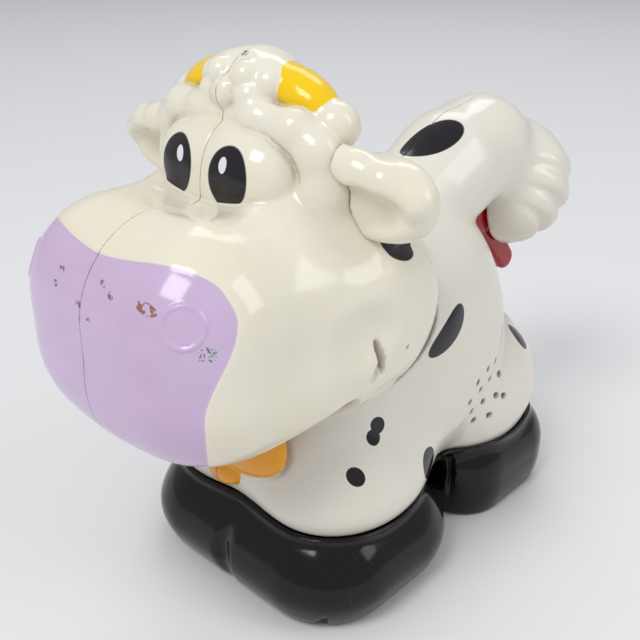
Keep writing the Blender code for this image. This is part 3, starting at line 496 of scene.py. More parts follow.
def tail_form(p):
    tail = rod(p, (0, 25, 98), (0, 50, 110.6), 19, 16.4)
    tail = join(tail, rod(p, (0, 50, 110.6), (0, 66, 113.2), 16.4, 16.6), 8)
    return join(tail, rod(p, (0, 66, 113.2), (0, 78, 104), 16.6, 16.5), 6)


def tail_notch(p, radius):
    """The room under the tail, where the trigger comes out."""
    return rod(p, (-60, 60, 92.5), (60, 60, 92.5), radius, radius)


def tuft_form(p):
    """The tail's tuft, combed into locks that sweep back from the tail."""
    tuft = ball(p, *TUFT, 2.15)
    across = np.arctan2(p[:, 2] - 104 + 0.35 * (p[:, 1] - 66), p[:, 1] - 50)
    # Each groove's turn in radians and its depth
    locks = ((-0.95, 0.9), (-0.5, 1.9), (-0.12, 2.0), (0.22, 1.2), (0.5, 0.7))
    mm_per_radian, groove_width = 22, 1.8
    groove = 0
    for turn, depth in locks:
        bent = turn + 0.16 * np.cos((p[:, 1] - 66) * 0.09)
        away = np.abs(across - bent) * mm_per_radian
        groove = groove + depth * np.exp(-((away / groove_width) ** 2))
    reach = np.clip((p[:, 1] - 66) / 12, 0, 1) * np.clip(np.abs(p[:, 0]) / 9, 0.25, 1)
    return tuft + groove * reach


def bell_form(p):
    bell = ball(p, (0, -48.6, 56), (22.5, 5.4, 13), (0, 0, 0), 2.3)
    return join(bell, ball(p, (0, -50.2, 42.5), (6.5, 3.8, 5)), 1.2)


def body_plain(p):
    body = ball(p, (0, 11, 63), (38, 52, 51))
    body = join(body, block(p, (0, 6, 58), (33, 40, 31), 20), 8)
    body = join(body, ball(p, (0, 0, 80), (38, 26, 21)), 8)
    body = join(body, ball(p, (0, -27, 44), (34, 24, 20)), 12)
    return body


def battery_bulge(p):
    """The flat-backed bulge between the haunches that holds the battery door."""
    return block(p, (0, 55, 45), (21, 11.4, 14), 5)


def front_leg(p):
    return ball(p, (20, -20, 36), (22, 28, 15))


def haunch(p):
    return ball(p, (17, 42, 39), (22.5, 29.5, 24.5))


def arch(p, radius):
    """The gap under the belly, between the front and rear hooves."""
    return rod(p, (-60, 12, 12), (60, 12, 12), radius, radius)


def body_no_bell(p):
    body = join(body_plain(p), front_leg(p), 8)
    body = join(body, haunch(p), 3)
    tail = cut(tail_form(p), tail_notch(p, NOTCH_RADIUS), 4)
    tail = join(tail, tuft_form(p), 6)
    body = join(body, tail, 2.5)
    body = join(body, battery_bulge(p), 5)
    return cut(body, arch(p, ARCH_RADIUS), 3)


def body_form(p):
    return join(body_no_bell(p), bell_form(p), 1.0)


def body_hollow(p):
    """The body's inside, which leaves its wall, the screws' posts, the door's frame and the ribs."""
    hollow = join(body_plain(p) + WALL, front_leg(p) + WALL, 6)
    hollow = join(hollow, haunch(p) + WALL, 3)
    hollow = join(hollow, cut(tail_form(p) + WALL, tail_notch(p, NOTCH_RADIUS + WALL), 2), 2)
    hollow = join(hollow, ball(p, *TUFT) + WALL + 1, 4)
    hollow = common(hollow, BODY_BOTTOM + WALL - p[:, 2], 0.6)
    hollow = cut(hollow, arch(p, ARCH_RADIUS + WALL), 2)
    for y, z in CASE_SCREWS:
        hollow = cut(hollow, off_line(p, y, z) - BOSS_RADIUS, 0.8)
    hollow = cut(hollow, off_line(p, *TRIGGER_PIVOT) - 4, 0.8)
    hollow = cut(hollow, block(p, (0, 70, 44), (19.3, 8, 13.5), 0.5), 0.6)
    hollow = cut(hollow, block(p, (0, -14, 64.5), (28, 18, 1.2), 0.2), 0.6)
    hollow = cut(hollow, block(p, (0, 39, 78.5), (FAR, 8, 1.2), 0.2), 0.6)
    for y in (22, 50):
        hollow = cut(hollow, block(p, (0, y, 24.6), (24, 1.2, 8.1), 0.2), 0.6)
    return hollow


def trigger_space(p):
    """The slot that the trigger swings through, from its pivot to under the tuft."""
    dy, dz = p[:, 1] - TRIGGER_PIVOT[0], p[:, 2] - TRIGGER_PIVOT[1]
    turn = np.arctan2(dz, dy)
    reach = np.hypot(dy, dz)
    first = math.atan2(69 - 98, 84 - 50) - math.radians(12)
    arc = np.maximum(reach, 2)
    root = np.maximum(np.maximum(first - turn, turn - first - math.radians(68)) * arc, reach - 43)
    tip = np.maximum(np.maximum(first - turn, turn - first - math.radians(39)) * arc, reach - 53.7)
    hub = np.hypot(dy + 1, dz) - 10
    return common(np.minimum(np.minimum(root, tip), hub), np.abs(p[:, 0]) - 7, 0.8)


def neck_space(p):
    """The room that the cheeks and jaw need in the body as the head tilts."""
    cheeks = disc(p, PIVOT, CHEEK_RADIUS + 1.3, CHEEK_HALF + 1.3, 13.3)
    return join(cheeks, ball(p, (15, -26, 95.5), (29.6, 26.8, 30.6)), 7)


def body_half(p):
    shell = cut(body_form(p), body_hollow(p), 0.4)
    shell = common(shell, BODY_BOTTOM - p[:, 2], 1.4)
    shell = cut(shell, neck_space(p), 0.8)
    away = off_line(p, *PIVOT[1:])
    crown = common(common(away - 30.8, np.abs(p[:, 0]) - 27, 2), 94 - p[:, 2], 1)
    shell = cut(shell, crown, 0.8)
    shell = cut(shell, trigger_space(p), 0.8)
    tray = block(p, (0, 33.6, 44.4), (16.9, 30.4, 12), 0.3)
    door = block(p, (0, 69, 42), (16.9, 5.8, 9.5), 0.3)
    shell = cut(shell, np.minimum(tray, door), 0.4)
    jaw = common(ball(p, (0, -50, 92), (34.3, 34.8, 24.8)), 66 - p[:, 2], 0.3)
    return cut(shell, jaw, 0.5)


# The holes' places as Y and Z
SOUND_HOLES = (
    (20, 56), (26, 58), (32, 58), (17, 50), (23, 52), (29, 53), (35, 52),
    (20, 45), (26, 46), (32, 46), (23, 40), (29, 40), (35, 45),
)


def body_left(p):
    holes = FAR
    for y, z in SOUND_HOLES:
        holes = np.minimum(holes, off_line(p, y, z))
    hole_radius = 0.95
    holes = common(holes - hole_radius, 24 - p[:, 0], 0.2)
    return cut(body_half(p), holes, 0.5)


def body_right(p):
    return cut(body_half(p), screw_ways(p, CASE_SCREWS), 0.4)


# Hooves, trigger and spring


def under_body(p):
    """The room that the hooves leave for the body."""
    return common(body_no_bell(p) - 0.5, BODY_BOTTOM - 0.4 - p[:, 2], 0.2)


def collar(p):
    """The hooves' top edge, which follows the body's legs."""
    return common(body_no_bell(p) - 1.5, p[:, 2] - 28, 1)


def folded(p):
    """Points with both sides folded onto the cow's left."""
    return p * (np.sign(p[:, :1]) * (1, 0, 0) + (0, 1, 1))


def front_hoof(p):
    q = folded(p)
    hoof = block(q, (0, -20.5, 6.5), (45.7, 34.4, 26.5), 25)
    hoof = hoof + 5.4 * np.clip((16 - q[:, 2]) / 16, 0, 1) ** 2
    hoof = join(hoof, collar(q), 3)
    hoof = cut(hoof, rod(q, (0, -51.5, -4), (0, -55, 13), 1.8, 1.8), 3.4)
    hoof = cut(hoof, rod(q, (0, -55, 13), (0, -52.5, 26), 1.8, 1.4), 3.4)
    hoof = cut(hoof, rod(q, (32.5, -46, -2), (36.6, -45.5, 12), 1.5, 0.3), 1.8)
    hoof = common(hoof, q[:, 1] - 15.2, 0.8)
    hoof = cut(hoof, under_body(q), 0.5)
    return common(hoof, -q[:, 2], 1.6)


def rear_hoof(p):
    q = folded(p)
    hoof = block(q, (0, 45.5, 6), (40.5, 26.5, 26), 17)
    hoof = hoof + 2.4 * np.clip((12 - q[:, 2]) / 12, 0, 1) ** 2
    hoof = join(hoof, collar(q), 3)
    hoof = cut(hoof, rod(q, (0, 12, -4), (0, 17, 34), 5, 3.5), 4)
    hoof = cut(hoof, rod(q, (0, 73, -4), (0, 70, 34), 3, 2), 4)
    hoof = cut(hoof, rod(q, (31.5, 19, -2), (28, 22.5, 26), 0.8, 0.3), 1.6)
    hoof = common(hoof, 15.6 - q[:, 1], 0.8)
    hoof = cut(hoof, under_body(q), 0.5)
    return common(hoof, -q[:, 2], 1.6)


def plate(p, start, end, start_radius, end_radius, half, edge=1.6):
    """A flat bar across X between two points, with rounded edges."""
    flat = p * (0, 1, 1)
    outline = rod(flat, (0, *start), (0, *end), start_radius, end_radius) + edge
    return rounded(outline, np.abs(p[:, 0]) - half + edge, edge)


def trigger_form(p):
    elbow, tip, prong = (66, 90), (83.5, 69.5), (39, 97.1)
    lever = plate(p, TRIGGER_PIVOT, elbow, 4.5, 4.5, 5.5)
    lever = join(lever, plate(p, elbow, tip, 4.5, 4.1, 5.5), 3)
    lever = join(lever, plate(p, TRIGGER_PIVOT, CRANK_PIN, 3.6, 2.64, 4.4, 0.6), 2)
    pad = np.maximum(np.hypot(p[:, 0], p[:, 1] - 65) - 4, np.maximum(90 - p[:, 2], p[:, 2] - 98.6))
    lever = join(lever, pad, 0.6)
    lever = join(lever, plate(p, TRIGGER_PIVOT, prong, 3.6, 2.25, 2.75, 0.6), 1.5)
    lever = cut(lever, off_line(p, *TRIGGER_PIVOT) - 1.8, 0.3)
    lever = cut(lever, off_line(p, *CRANK_PIN) - 1.4, 0.3)
    fork = np.maximum(np.abs(p[:, 0]) - 2.4, np.abs(p[:, 1] - 38.5) - 22.5)
    fork = np.maximum(fork, 105.36 - p[:, 2])
    return cut(lever, fork, 0.3)


def make_spring():
    """The trigger's return spring, with closed end turns, made to the imported spring's length; here it does
    not shorten as the trigger goes in.
    """
    low, high = (np.array(corner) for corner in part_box("return_spring"))
    centre = (low + high) / 2
    wire = SPRING_WIRE / 2 * MM
    ring = (high[0] - low[0]) / 2 - wire
    sides, steps_a_turn = 10, 24
    turns = np.linspace(0, SPRING_TURNS, SPRING_TURNS * steps_a_turn + 1)
    angle = turns * math.tau
    bottom, top = low[2] + wire, high[2] - wire
    levels = (bottom, bottom + 2 * wire, top - 2 * wire, top)
    rise = np.interp(turns, (0, 1, SPRING_TURNS - 1, SPRING_TURNS), levels)
    flat = np.zeros_like(angle)
    outward = np.stack([np.cos(angle), np.sin(angle), flat], 1)
    line = outward * ring + (centre[0], centre[1], 0) + np.stack([flat, flat, rise], 1)
    upward = np.array([0, 0, 1.0])
    points = []
    for turn in np.linspace(0, math.tau, sides, endpoint=False):
        points.append(line + wire * (outward * math.cos(turn) + upward * math.sin(turn)))
    points = np.stack(points, 1).reshape(-1, 3)
    last = len(points) - sides
    faces = [tuple(range(sides)), tuple(range(last, len(points)))[::-1]]
    for start in range(0, last, sides):
        for side in range(sides):
            after = (side + 1) % sides
            faces.append((start + side, start + sides + side, start + sides + after, start + after))
    mesh = bpy.data.meshes.new("return_spring_coil")
    mesh.from_pydata(points.tolist(), [], faces)
    mesh.update()
    mesh.shade_smooth()
    coil = bpy.data.objects.new("return_spring_coil", mesh)
    bpy.context.scene.collection.objects.link(coil)
    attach(coil, "case")
    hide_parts("return_spring")
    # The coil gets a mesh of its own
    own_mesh(coil)
    return coil


# Pieces


def make_mouldings():
    """Every moulding, with its grid as fine as its smallest details need."""
    step, fine = ((0.8, 0.4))
    head_box = ((0, -94, 62), (46, 0, 158))
    head_marks = (
        ("muzzle", muzzle_mark),
        ("eye", lambda p: head_no_eyes(p) - eye_dome(p)),
        ("horn", lambda p: join(head_no_eyes(p), eye_dome(p), 1) - horn_form(p)),
    )
    nostril = ((-87, -79, fine), (103, 117, fine), (23, 37, fine))
    head = {"box": head_box, "step": step * 1.1, "marks": head_marks, "close": nostril}
    made = {
        "head_left": skin("head_left_moulding", head_half, side=1, **head),
        "head_right": skin("head_right_moulding", head_right, side=-1, **head),
    }
    body_box = ((0, -54, 16), (44, 104, 134))
    body_marks = (("bell", lambda p: body_no_bell(p) - bell_form(p)),)
    speaker = ((15, 37, 0.5), (38, 60, 0.5), None)
    body = {"box": body_box, "marks": body_marks}
    made["body_left"] = skin("body_left_moulding", body_left, step=step * 1.3, side=1, close=speaker, **body)
    made["body_right"] = skin("body_right_moulding", body_right, step=step * 1.1, side=-1, **body)
    ear_box = ((20, -46, 112), (60, -18, 146))
    made["ear_left"] = skin("left_ear_moulding", ear_form, ear_box, step * 0.75, 1, halved=False)
    made["ear_right"] = skin("right_ear_moulding", ear_form, ear_box, step * 0.75, -1, halved=False)
    made["front"] = skin("front_hoof_moulding", front_hoof, ((-46, -56, -2), (46, 18, 34)), step)
    made["rear"] = skin("rear_hoof_moulding", rear_hoof, ((-42, 12, -2), (42, 72, 34)), step)
    made["trigger"] = skin("trigger_moulding", trigger_form, ((-7, 34, 62), (7, 90, 118)), 0.5)
    return made


def make_pieces():
    """The mouldings and the spring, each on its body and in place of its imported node."""
    made = make_mouldings()
    stands_for = {
        "head_left": ("head", "head_left_shell", "cream_plastic"),
        "head_right": ("head", "head_right_shell", "cream_plastic"),
        "body_left": ("case", "body_left_shell", "cream_plastic"),
        "body_right": ("case", "body_right_shell", "cream_plastic"),
        "ear_left": ("head", "left_ear", "cream_plastic"),
        "ear_right": ("head", "right_ear", "cream_plastic"),
        "front": ("case", "front_hooves", "black_plastic"),
        "rear": ("case", "rear_hooves", "black_plastic"),
        "trigger": ("trigger", "trigger", "red_plastic"),
    }
    for key, (body, node, finish) in stands_for.items():
        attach(made[key], body)
        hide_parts(node)
    made["spring"] = make_spring()
    return made


# Finishes


def paint(red, green, blue):
    """A colour from its screen values, 0 to 255."""
    parts = (v / 255 for v in (red, green, blue))
    return (*(v / 12.92 if v <= 0.04045 else ((v + 0.055) / 1.055) ** 2.4 for v in parts), 1)


IVORY = paint(238, 233, 218)
IVORY_AGED = paint(232, 223, 197)
BODY_IVORY = paint(232, 228, 218)
BODY_AGED = paint(230, 222, 204)
LAVENDER = paint(211, 187, 221)
LAVENDER_WORN = paint(196, 172, 202)
HORN_YELLOW = paint(250, 206, 6)
BELL_ORANGE = paint(240, 160, 10)
SPOT_BLACK = paint(22, 17, 24)
HOOF_BLACK = paint(12, 7, 10)
HOOF_WORN = paint(20, 13, 16)
TRIGGER_RED = paint(168, 6, 22)
# Colour for the painted shade in dents and creases, with their dust, and for the grime in scuffs
GRIME_AND_SHADE = paint(120, 104, 84)
NICK_DARK = paint(84, 70, 66)
GLINT_WHITE = paint(232, 232, 236)
SCUFF_BROWN = paint(146, 108, 80)
KNOCK_GREY = paint(128, 108, 128)
CRAYON_GREEN = paint(92, 138, 112)


class Sheet:
    """The nodes of one material or group, and short ways to add and link them."""

    def __init__(self, tree):
        self.tree = tree

    def add(self, kind, settings=(), **sockets):
        node = self.tree.nodes.new(kind)
        for key, value in dict(settings).items():
            setattr(node, key, value)
        for key, value in sockets.items():
            self.feed(node.inputs[key.replace("_", " ")], value)
        return node

    def feed(self, socket, value):
        if isinstance(value, bpy.types.NodeSocket):
            self.tree.links.new(value, socket)
        else:
            socket.default_value = value

    def maths(self, operation, a, b=0.0, clamp=False):
        node = self.tree.nodes.new("ShaderNodeMath")
        node.operation = operation
        node.use_clamp = clamp
        self.feed(node.inputs[0], a)
        self.feed(node.inputs[1], b)
        return node.outputs[0]

    def mix(self, share, a, b, blend="MIX"):
        node = self.tree.nodes.new("ShaderNodeMix")
        node.data_type = "RGBA"
        node.blend_type = blend
        self.feed(node.inputs[0], share)
        self.feed(node.inputs[6], a)
        self.feed(node.inputs[7], b)
        return node.outputs[2]

    def ramp(self, value, low, high, out_low=0.0, out_high=1.0):
        node = self.tree.nodes.new("ShaderNodeMapRange")
        node.interpolation_type = "SMOOTHSTEP"
        for index, item in enumerate((value, low, high, out_low, out_high)):
            self.feed(node.inputs[index], item)
        return node.outputs[0]

    def noise(self, place, scale, detail=3.0, rough=0.55):
        node = self.tree.nodes.new("ShaderNodeTexNoise")
        self.feed(node.inputs["Vector"], place)
        self.feed(node.inputs["Scale"], scale)
        self.feed(node.inputs["Detail"], detail)
        self.feed(node.inputs["Roughness"], rough)
        return node.outputs[0]

    def mark(self, name):
        node = self.tree.nodes.new("ShaderNodeAttribute")
        node.attribute_name = name
        return node.outputs["Fac"]

    def place(self):
        return self.tree.nodes.new("ShaderNodeTexCoord").outputs["Object"]

    def group(self, name, **sockets):
        node = self.tree.nodes.new("ShaderNodeGroup")
        node.node_tree = bpy.data.node_groups[name]
        for key, value in sockets.items():
            self.feed(node.inputs[key], value)
        return node.outputs


def new_group(name, inputs, outputs):
    """An empty node group. Each socket is (name, kind, default)."""
    tree = bpy.data.node_groups.new(name, "ShaderNodeTree")
    for socket, kind, value in inputs:
        item = tree.interface.new_socket(socket, in_out="INPUT", socket_type="NodeSocket" + kind)
        if value is not None:
            item.default_value = value
    for socket, kind in outputs:
        tree.interface.new_socket(socket, in_out="OUTPUT", socket_type="NodeSocket" + kind)
    sheet = Sheet(tree)
    given = tree.nodes.new("NodeGroupInput").outputs
    result = tree.nodes.new("NodeGroupOutput").inputs
    return sheet, given, result


def make_groups():
    sheet, given, result = new_group(
        "painted spot",
        (("Place", "Vector", None), ("Middle", "Vector", None), ("Radii", "Vector", (1, 1, 1)),
         ("Turn", "Vector", None), ("Softness", "Float", 0.03)),
        (("Mask", "Float"),),
    )
    seen = sheet.add("ShaderNodeMapping", {"vector_type": "TEXTURE"})
    fed = {"Vector": "Place", "Location": "Middle", "Rotation": "Turn", "Scale": "Radii"}
    for socket, value in fed.items():
        sheet.feed(seen.inputs[socket], given[value])
    away = sheet.add("ShaderNodeVectorMath", {"operation": "LENGTH"})
    sheet.feed(away.inputs[0], seen.outputs[0])
    inner = sheet.maths("SUBTRACT", 1.0, given["Softness"])
    outer = sheet.maths("ADD", 1.0, given["Softness"])
    sheet.feed(result["Mask"], sheet.ramp(away.outputs["Value"], inner, outer, 1.0, 0.0))

    sheet, given, result = new_group(
        "handled gloss",
        (("Place", "Vector", None), ("Roughness", "Float", 0.25), ("Spread", "Float", 0.08)),
        (("Roughness", "Float"), ("Height", "Float")),
    )
    broad = sheet.noise(given["Place"], 38.0, 4.0)
    fine = sheet.noise(given["Place"], 420.0, 3.0)
    both = sheet.maths("ADD", sheet.maths("MULTIPLY", broad, 0.7), sheet.maths("MULTIPLY", fine, 0.3))
    swing = sheet.maths("MULTIPLY", sheet.maths("SUBTRACT", both, 0.5), given["Spread"])
    swing = sheet.maths("MULTIPLY", swing, 3.0)
    sheet.feed(result["Roughness"], sheet.maths("ADD", swing, given["Roughness"], True))
    sheet.feed(result["Height"], sheet.noise(given["Place"], 700.0, 2.0))

    sheet, given, result = new_group(
        "nicks and scuffs",
        (("Place", "Vector", None), ("Scale", "Float", 90.0), ("Share", "Float", 0.12)),
        (("Nicks", "Float"), ("Scuffs", "Float")),
    )
    warp = sheet.add("ShaderNodeTexNoise", Scale=260.0, Detail=2.0)
    sheet.feed(warp.inputs["Vector"], given["Place"])
    drift = sheet.add("ShaderNodeVectorMath", {"operation": "SCALE"}, Scale=0.0022)
    sheet.feed(drift.inputs[0], warp.outputs["Color"])
    moved = sheet.add("ShaderNodeVectorMath", {"operation": "ADD"})
    sheet.feed(moved.inputs[0], given["Place"])
    sheet.feed(moved.inputs[1], drift.outputs[0])
    cells = sheet.add("ShaderNodeTexVoronoi")
    sheet.feed(cells.inputs["Vector"], moved.outputs[0])
    sheet.feed(cells.inputs["Scale"], given["Scale"])
    tint = sheet.add("ShaderNodeSeparateColor")
    sheet.feed(tint.inputs[0], cells.outputs["Color"])
    chosen = sheet.maths("LESS_THAN", tint.outputs["Red"], given["Share"])
    size = sheet.maths("MULTIPLY", tint.outputs["Green"], 0.075)
    chip = sheet.ramp(sheet.maths("SUBTRACT", cells.outputs["Distance"], size), 0.0, 0.03, 1.0, 0.0)
    sheet.feed(result["Nicks"], sheet.maths("MULTIPLY", chip, chosen))
    stretched = sheet.add("ShaderNodeMapping", Rotation=(0.5, 0.9, 0.3), Scale=(1, 14, 1))
    sheet.feed(stretched.inputs["Vector"], given["Place"])
    lines = sheet.ramp(sheet.noise(stretched.outputs[0], 150.0, 4.0, 0.7), 0.62, 0.74)
    where = sheet.ramp(sheet.noise(given["Place"], 30.0, 2.0), 0.52, 0.68)
    sheet.feed(result["Scuffs"], sheet.maths("MULTIPLY", lines, where))

    # Painted shade: a mask that is high where the hollow mark is high, in dents and creases where shade
    # falls, broken up like settled dust
    sheet, given, result = new_group(
        "painted crease shade and dust",
        (("Place", "Vector", None), ("Hollow", "Float", 0.0), ("Amount", "Float", 0.5)),
        (("Mask", "Float"),),
    )
    deep = sheet.ramp(given["Hollow"], 0.12, 0.75)
    patchy = sheet.ramp(sheet.noise(given["Place"], 120.0, 4.0), 0.3, 0.7, 0.55, 1.0)
    mask = sheet.maths("MULTIPLY", sheet.maths("MULTIPLY", deep, patchy), given["Amount"], True)
    sheet.feed(result["Mask"], mask)

    sheet, given, result = new_group(
        "aged tint",
        (("Place", "Vector", None), ("Clean", "Color", None), ("Aged", "Color", None),
         ("Share", "Float", 0.5)),
        (("Color", "Color"),),
    )
    broad = sheet.ramp(sheet.noise(given["Place"], 16.0, 3.0), 0.3, 0.72)
    mottle = sheet.ramp(sheet.noise(given["Place"], 95.0, 4.0), 0.35, 0.7)
    both = sheet.maths("ADD", sheet.maths("MULTIPLY", broad, 0.7), sheet.maths("MULTIPLY", mottle, 0.3))
    share = sheet.maths("MULTIPLY", both, given["Share"])
    sheet.feed(result["Color"], sheet.mix(share, given["Clean"], given["Aged"]))


def new_finish(name, roughness=0.3, metallic=0.0, **constants):
    """A material with its shader, and the sheet that its nodes are added to."""
    made = bpy.data.materials.new(name)
    made.use_nodes = True
    shader = made.node_tree.nodes["Principled BSDF"]
    shader.inputs["Roughness"].default_value = roughness
    shader.inputs["Metallic"].default_value = metallic
    for key, value in constants.items():
        shader.inputs[key.replace("_", " ")].default_value = value
    return made, shader, Sheet(made.node_tree)


def spots(sheet, place, rows):
    """Several painted spots in one mask."""
    mask = None
    for middle, radii, turn in rows:
        middle = tuple(v * MM for v in (middle[0], middle[1] - MIDDLE, middle[2]))
        radii = tuple(v * MM for v in radii)
        turn = tuple(math.radians(v) for v in turn)
        one = sheet.group("painted spot", Place=place, Middle=middle, Radii=radii, Turn=turn)["Mask"]
        mask = one if mask is None else sheet.maths("MAXIMUM", mask, one)
    return mask


def worn(sheet, shader, place, colour, roughness, grime=0.5, nick_share=0.1, scuffs=0.25):
    """Painted shade with dust in dents and creases, then nicks, scuffs with grime, and a handled gloss over
    a colour.
    """
    spread, peel = 0.06, 0.08
    # Painted shade: the colour darkens in hollows and creases where shade falls, and is a little rougher
    # there as dust
    shade_and_dust = sheet.group("painted crease shade and dust", Place=place, Hollow=sheet.mark("hollow"), Amount=grime)["Mask"]
    colour = sheet.mix(shade_and_dust, colour, GRIME_AND_SHADE)
    marks = sheet.group("nicks and scuffs", Place=place, Share=nick_share)
    colour = sheet.mix(sheet.maths("MULTIPLY", marks["Nicks"], 0.7), colour, NICK_DARK)
    colour = sheet.mix(sheet.maths("MULTIPLY", marks["Scuffs"], scuffs), colour, GRIME_AND_SHADE)
    gloss = sheet.group("handled gloss", Place=place, Roughness=roughness, Spread=spread)
    rough = sheet.maths("ADD", gloss["Roughness"], sheet.maths("MULTIPLY", shade_and_dust, 0.3))
    rough = sheet.maths("ADD", rough, sheet.maths("MULTIPLY", marks["Scuffs"], 0.12), True)
    sheet.feed(shader.inputs["Base Color"], colour)
    sheet.feed(shader.inputs["Roughness"], rough)
    height = sheet.maths("SUBTRACT", sheet.maths("MULTIPLY", gloss["Height"], peel), marks["Nicks"])
    bump = sheet.add("ShaderNodeBump", Strength=0.25, Distance=0.00025, Height=height)
    sheet.feed(shader.inputs["Normal"], bump.outputs[0])


def head_finish():
    made, shader, sheet = new_finish("head ivory plastic")
    place = sheet.place()
    colour = sheet.group("aged tint", Place=place, Clean=IVORY, Aged=IVORY_AGED, Share=0.75)["Color"]
    muzzle = sheet.ramp(sheet.mark("muzzle"), -0.25, 0.1, 1.0, 0.0)
    soft = sheet.group("aged tint", Place=place, Clean=LAVENDER, Aged=LAVENDER_WORN, Share=0.7)["Color"]
    colour = sheet.mix(muzzle, colour, soft)
    horn = sheet.ramp(sheet.mark("horn"), -0.05, 0.3)
    colour = sheet.mix(horn, colour, HORN_YELLOW)
    patch = spots(sheet, place, NECK_PATCHES)
    colour = sheet.mix(patch, colour, SPOT_BLACK)
    on_eye = sheet.ramp(sheet.mark("eye"), -0.2, 0.15)
    pupil = sheet.maths("MULTIPLY", spots(sheet, place, PUPILS), on_eye)
    colour = sheet.mix(pupil, colour, SPOT_BLACK)
    glint = sheet.maths("MULTIPLY", spots(sheet, place, GLINTS), on_eye)
    colour = sheet.mix(glint, colour, GLINT_WHITE)
    scuff = spots(sheet, place, SCUFFS)
    broken = sheet.ramp(sheet.noise(place, 900.0, 3.0), 0.46, 0.54)
    colour = sheet.mix(sheet.maths("MULTIPLY", scuff, broken), colour, SCUFF_BROWN)
    knock = spots(sheet, place, KNOCKS)
    colour = sheet.mix(sheet.maths("MULTIPLY", knock, broken), colour, KNOCK_GREY)
    flecks = sheet.ramp(sheet.noise(place, 1400.0, 2.0), 0.5, 0.58)
    green = sheet.maths("MULTIPLY", spots(sheet, place, GREEN_MARK), flecks)
    colour = sheet.mix(green, colour, CRAYON_GREEN)
    worn(sheet, shader, place, colour, 0.13)
    return made


# Painted spots and marks: middle and half sizes in millimetres, and turn in degrees
PUPILS = (
    ((9.3, -51.4, 130.6), (6.3, 9, 7.6), (0, -2, 0)),
    ((-9.3, -51.4, 130.6), (6.3, 9, 7.6), (0, 2, 0)),
)
GLINTS = (
    ((7.9, -52.0, 133.6), (1.3, 6, 2.0), (0, 6, 0)),
    ((-7.9, -52.0, 133.6), (1.3, 6, 2.0), (0, -6, 0)),
)
NECK_PATCHES = (
    ((39.5, -24.2, 115.0), (6, 6.6, 4.7), (-31, 0, 0)),
    ((-39.5, -24.2, 115.0), (6, 6.6, 4.7), (-31, 0, 0)),
)
SCUFFS = (((21.2, -87.5, 112.3), (3.2, 3, 1.2), (0, 14, 0)),)
KNOCK_PLACES = (
    (6.2, -87.8, 113.6), (-9.8, -88.2, 112.9), (-10.5, -89.9, 109.4), (9.9, -88.7, 112.1),
    (-0.8, -90.5, 107.4), (3.2, -91.0, 105.3), (1.0, -38.6, 156.9),
)
KNOCKS = tuple((place, (1.2, 1.2, 0.7), (0, 25, 0)) for place in KNOCK_PLACES)
GREEN_MARK = (((34.1, -82, 103.5), (1.9, 2.4, 1.9), (0, 0, 0)),)
BODY_SPOTS = (
    ((36, 1.2, 80.4), (8, 4.1, 9.8), (-60, 0, 0)),
    ((34.2, -23.0, 58.6), (6, 2.2, 2.5), (0, 0, 0)),
    ((33.7, -24.9, 55.6), (6, 2.1, 2.3), (0, 0, 0)),
    ((34.7, -33.5, 47.4), (7, 2.4, 2.5), (0, 0, 0)),
    ((3.5, 35.4, 122.3), (5.8, 11.0, 7), (22, 0, -27)),
    ((38.5, -4.6, 39.2), (6, 4.6, 4.8), (0, 0, 0)),
    ((30.5, 56, 57), (6, 4.0, 5.0), (0, 0, 0)),
    ((-36, 14, 70), (8, 9, 5), (30, 0, 0)),
    ((-33, -16, 52), (8, 3.4, 3.0), (0, 0, 0)),
    ((-30, 50, 40), (8, 4.5, 6.5), (20, 0, 0)),
    ((-36, 30, 50), (8, 3.2, 3.2), (0, 0, 0)),
)


def body_finish():
    made, shader, sheet = new_finish("body ivory plastic")
    place = sheet.place()
    colour = sheet.group("aged tint", Place=place, Clean=BODY_IVORY, Aged=BODY_AGED, Share=0.6)["Color"]
    bell = sheet.ramp(sheet.mark("bell"), -0.1, 0.25)
    colour = sheet.mix(bell, colour, BELL_ORANGE)
    colour = sheet.mix(spots(sheet, place, BODY_SPOTS), colour, SPOT_BLACK)
    worn(sheet, shader, place, colour, 0.15)
    return made


def plain_finish(name, clean, aged, roughness, share=0.5, metallic=0.0, **wear):
    made, shader, sheet = new_finish(name, metallic=metallic)
    place = sheet.place()
    colour = sheet.group("aged tint", Place=place, Clean=clean, Aged=aged, Share=share)["Color"]
    worn(sheet, shader, place, colour, roughness, **wear)
    return made


def clear_finish(name, tint, roughness, ior):
    """Clear plastic or glass."""
    made, shader, sheet = new_finish(name, IOR=ior, Transmission_Weight=1.0)
    shader.inputs["Base Color"].default_value = tint
    gloss = sheet.group("handled gloss", Place=sheet.place(), Roughness=roughness, Spread=0.04)
    sheet.feed(shader.inputs["Roughness"], gloss["Roughness"])
    return made


def cell_finish():
    made, shader, sheet = new_finish("battery jacket", metallic=1.0)
    place = sheet.place()
    parts = sheet.add("ShaderNodeSeparateXYZ")
    sheet.feed(parts.inputs[0], place)
    band = sheet.ramp(parts.outputs["Y"], 0.0445, 0.0452)
    colour = sheet.mix(band, paint(60, 64, 70), paint(196, 142, 84))
    worn(sheet, shader, place, colour, 0.3, grime=0.1)
    return made


def board_finish():
    made, shader, sheet = new_finish("board lacquer")
    place = sheet.place()
    tracks = sheet.add("ShaderNodeTexBrick", Scale=420.0, Mortar_Size=0.05)
    sheet.feed(tracks.inputs["Vector"], place)
    colour = sheet.mix(tracks.outputs["Fac"], paint(22, 92, 52), paint(40, 128, 76))
    worn(sheet, shader, place, colour, 0.3, grime=0.2)
    return made


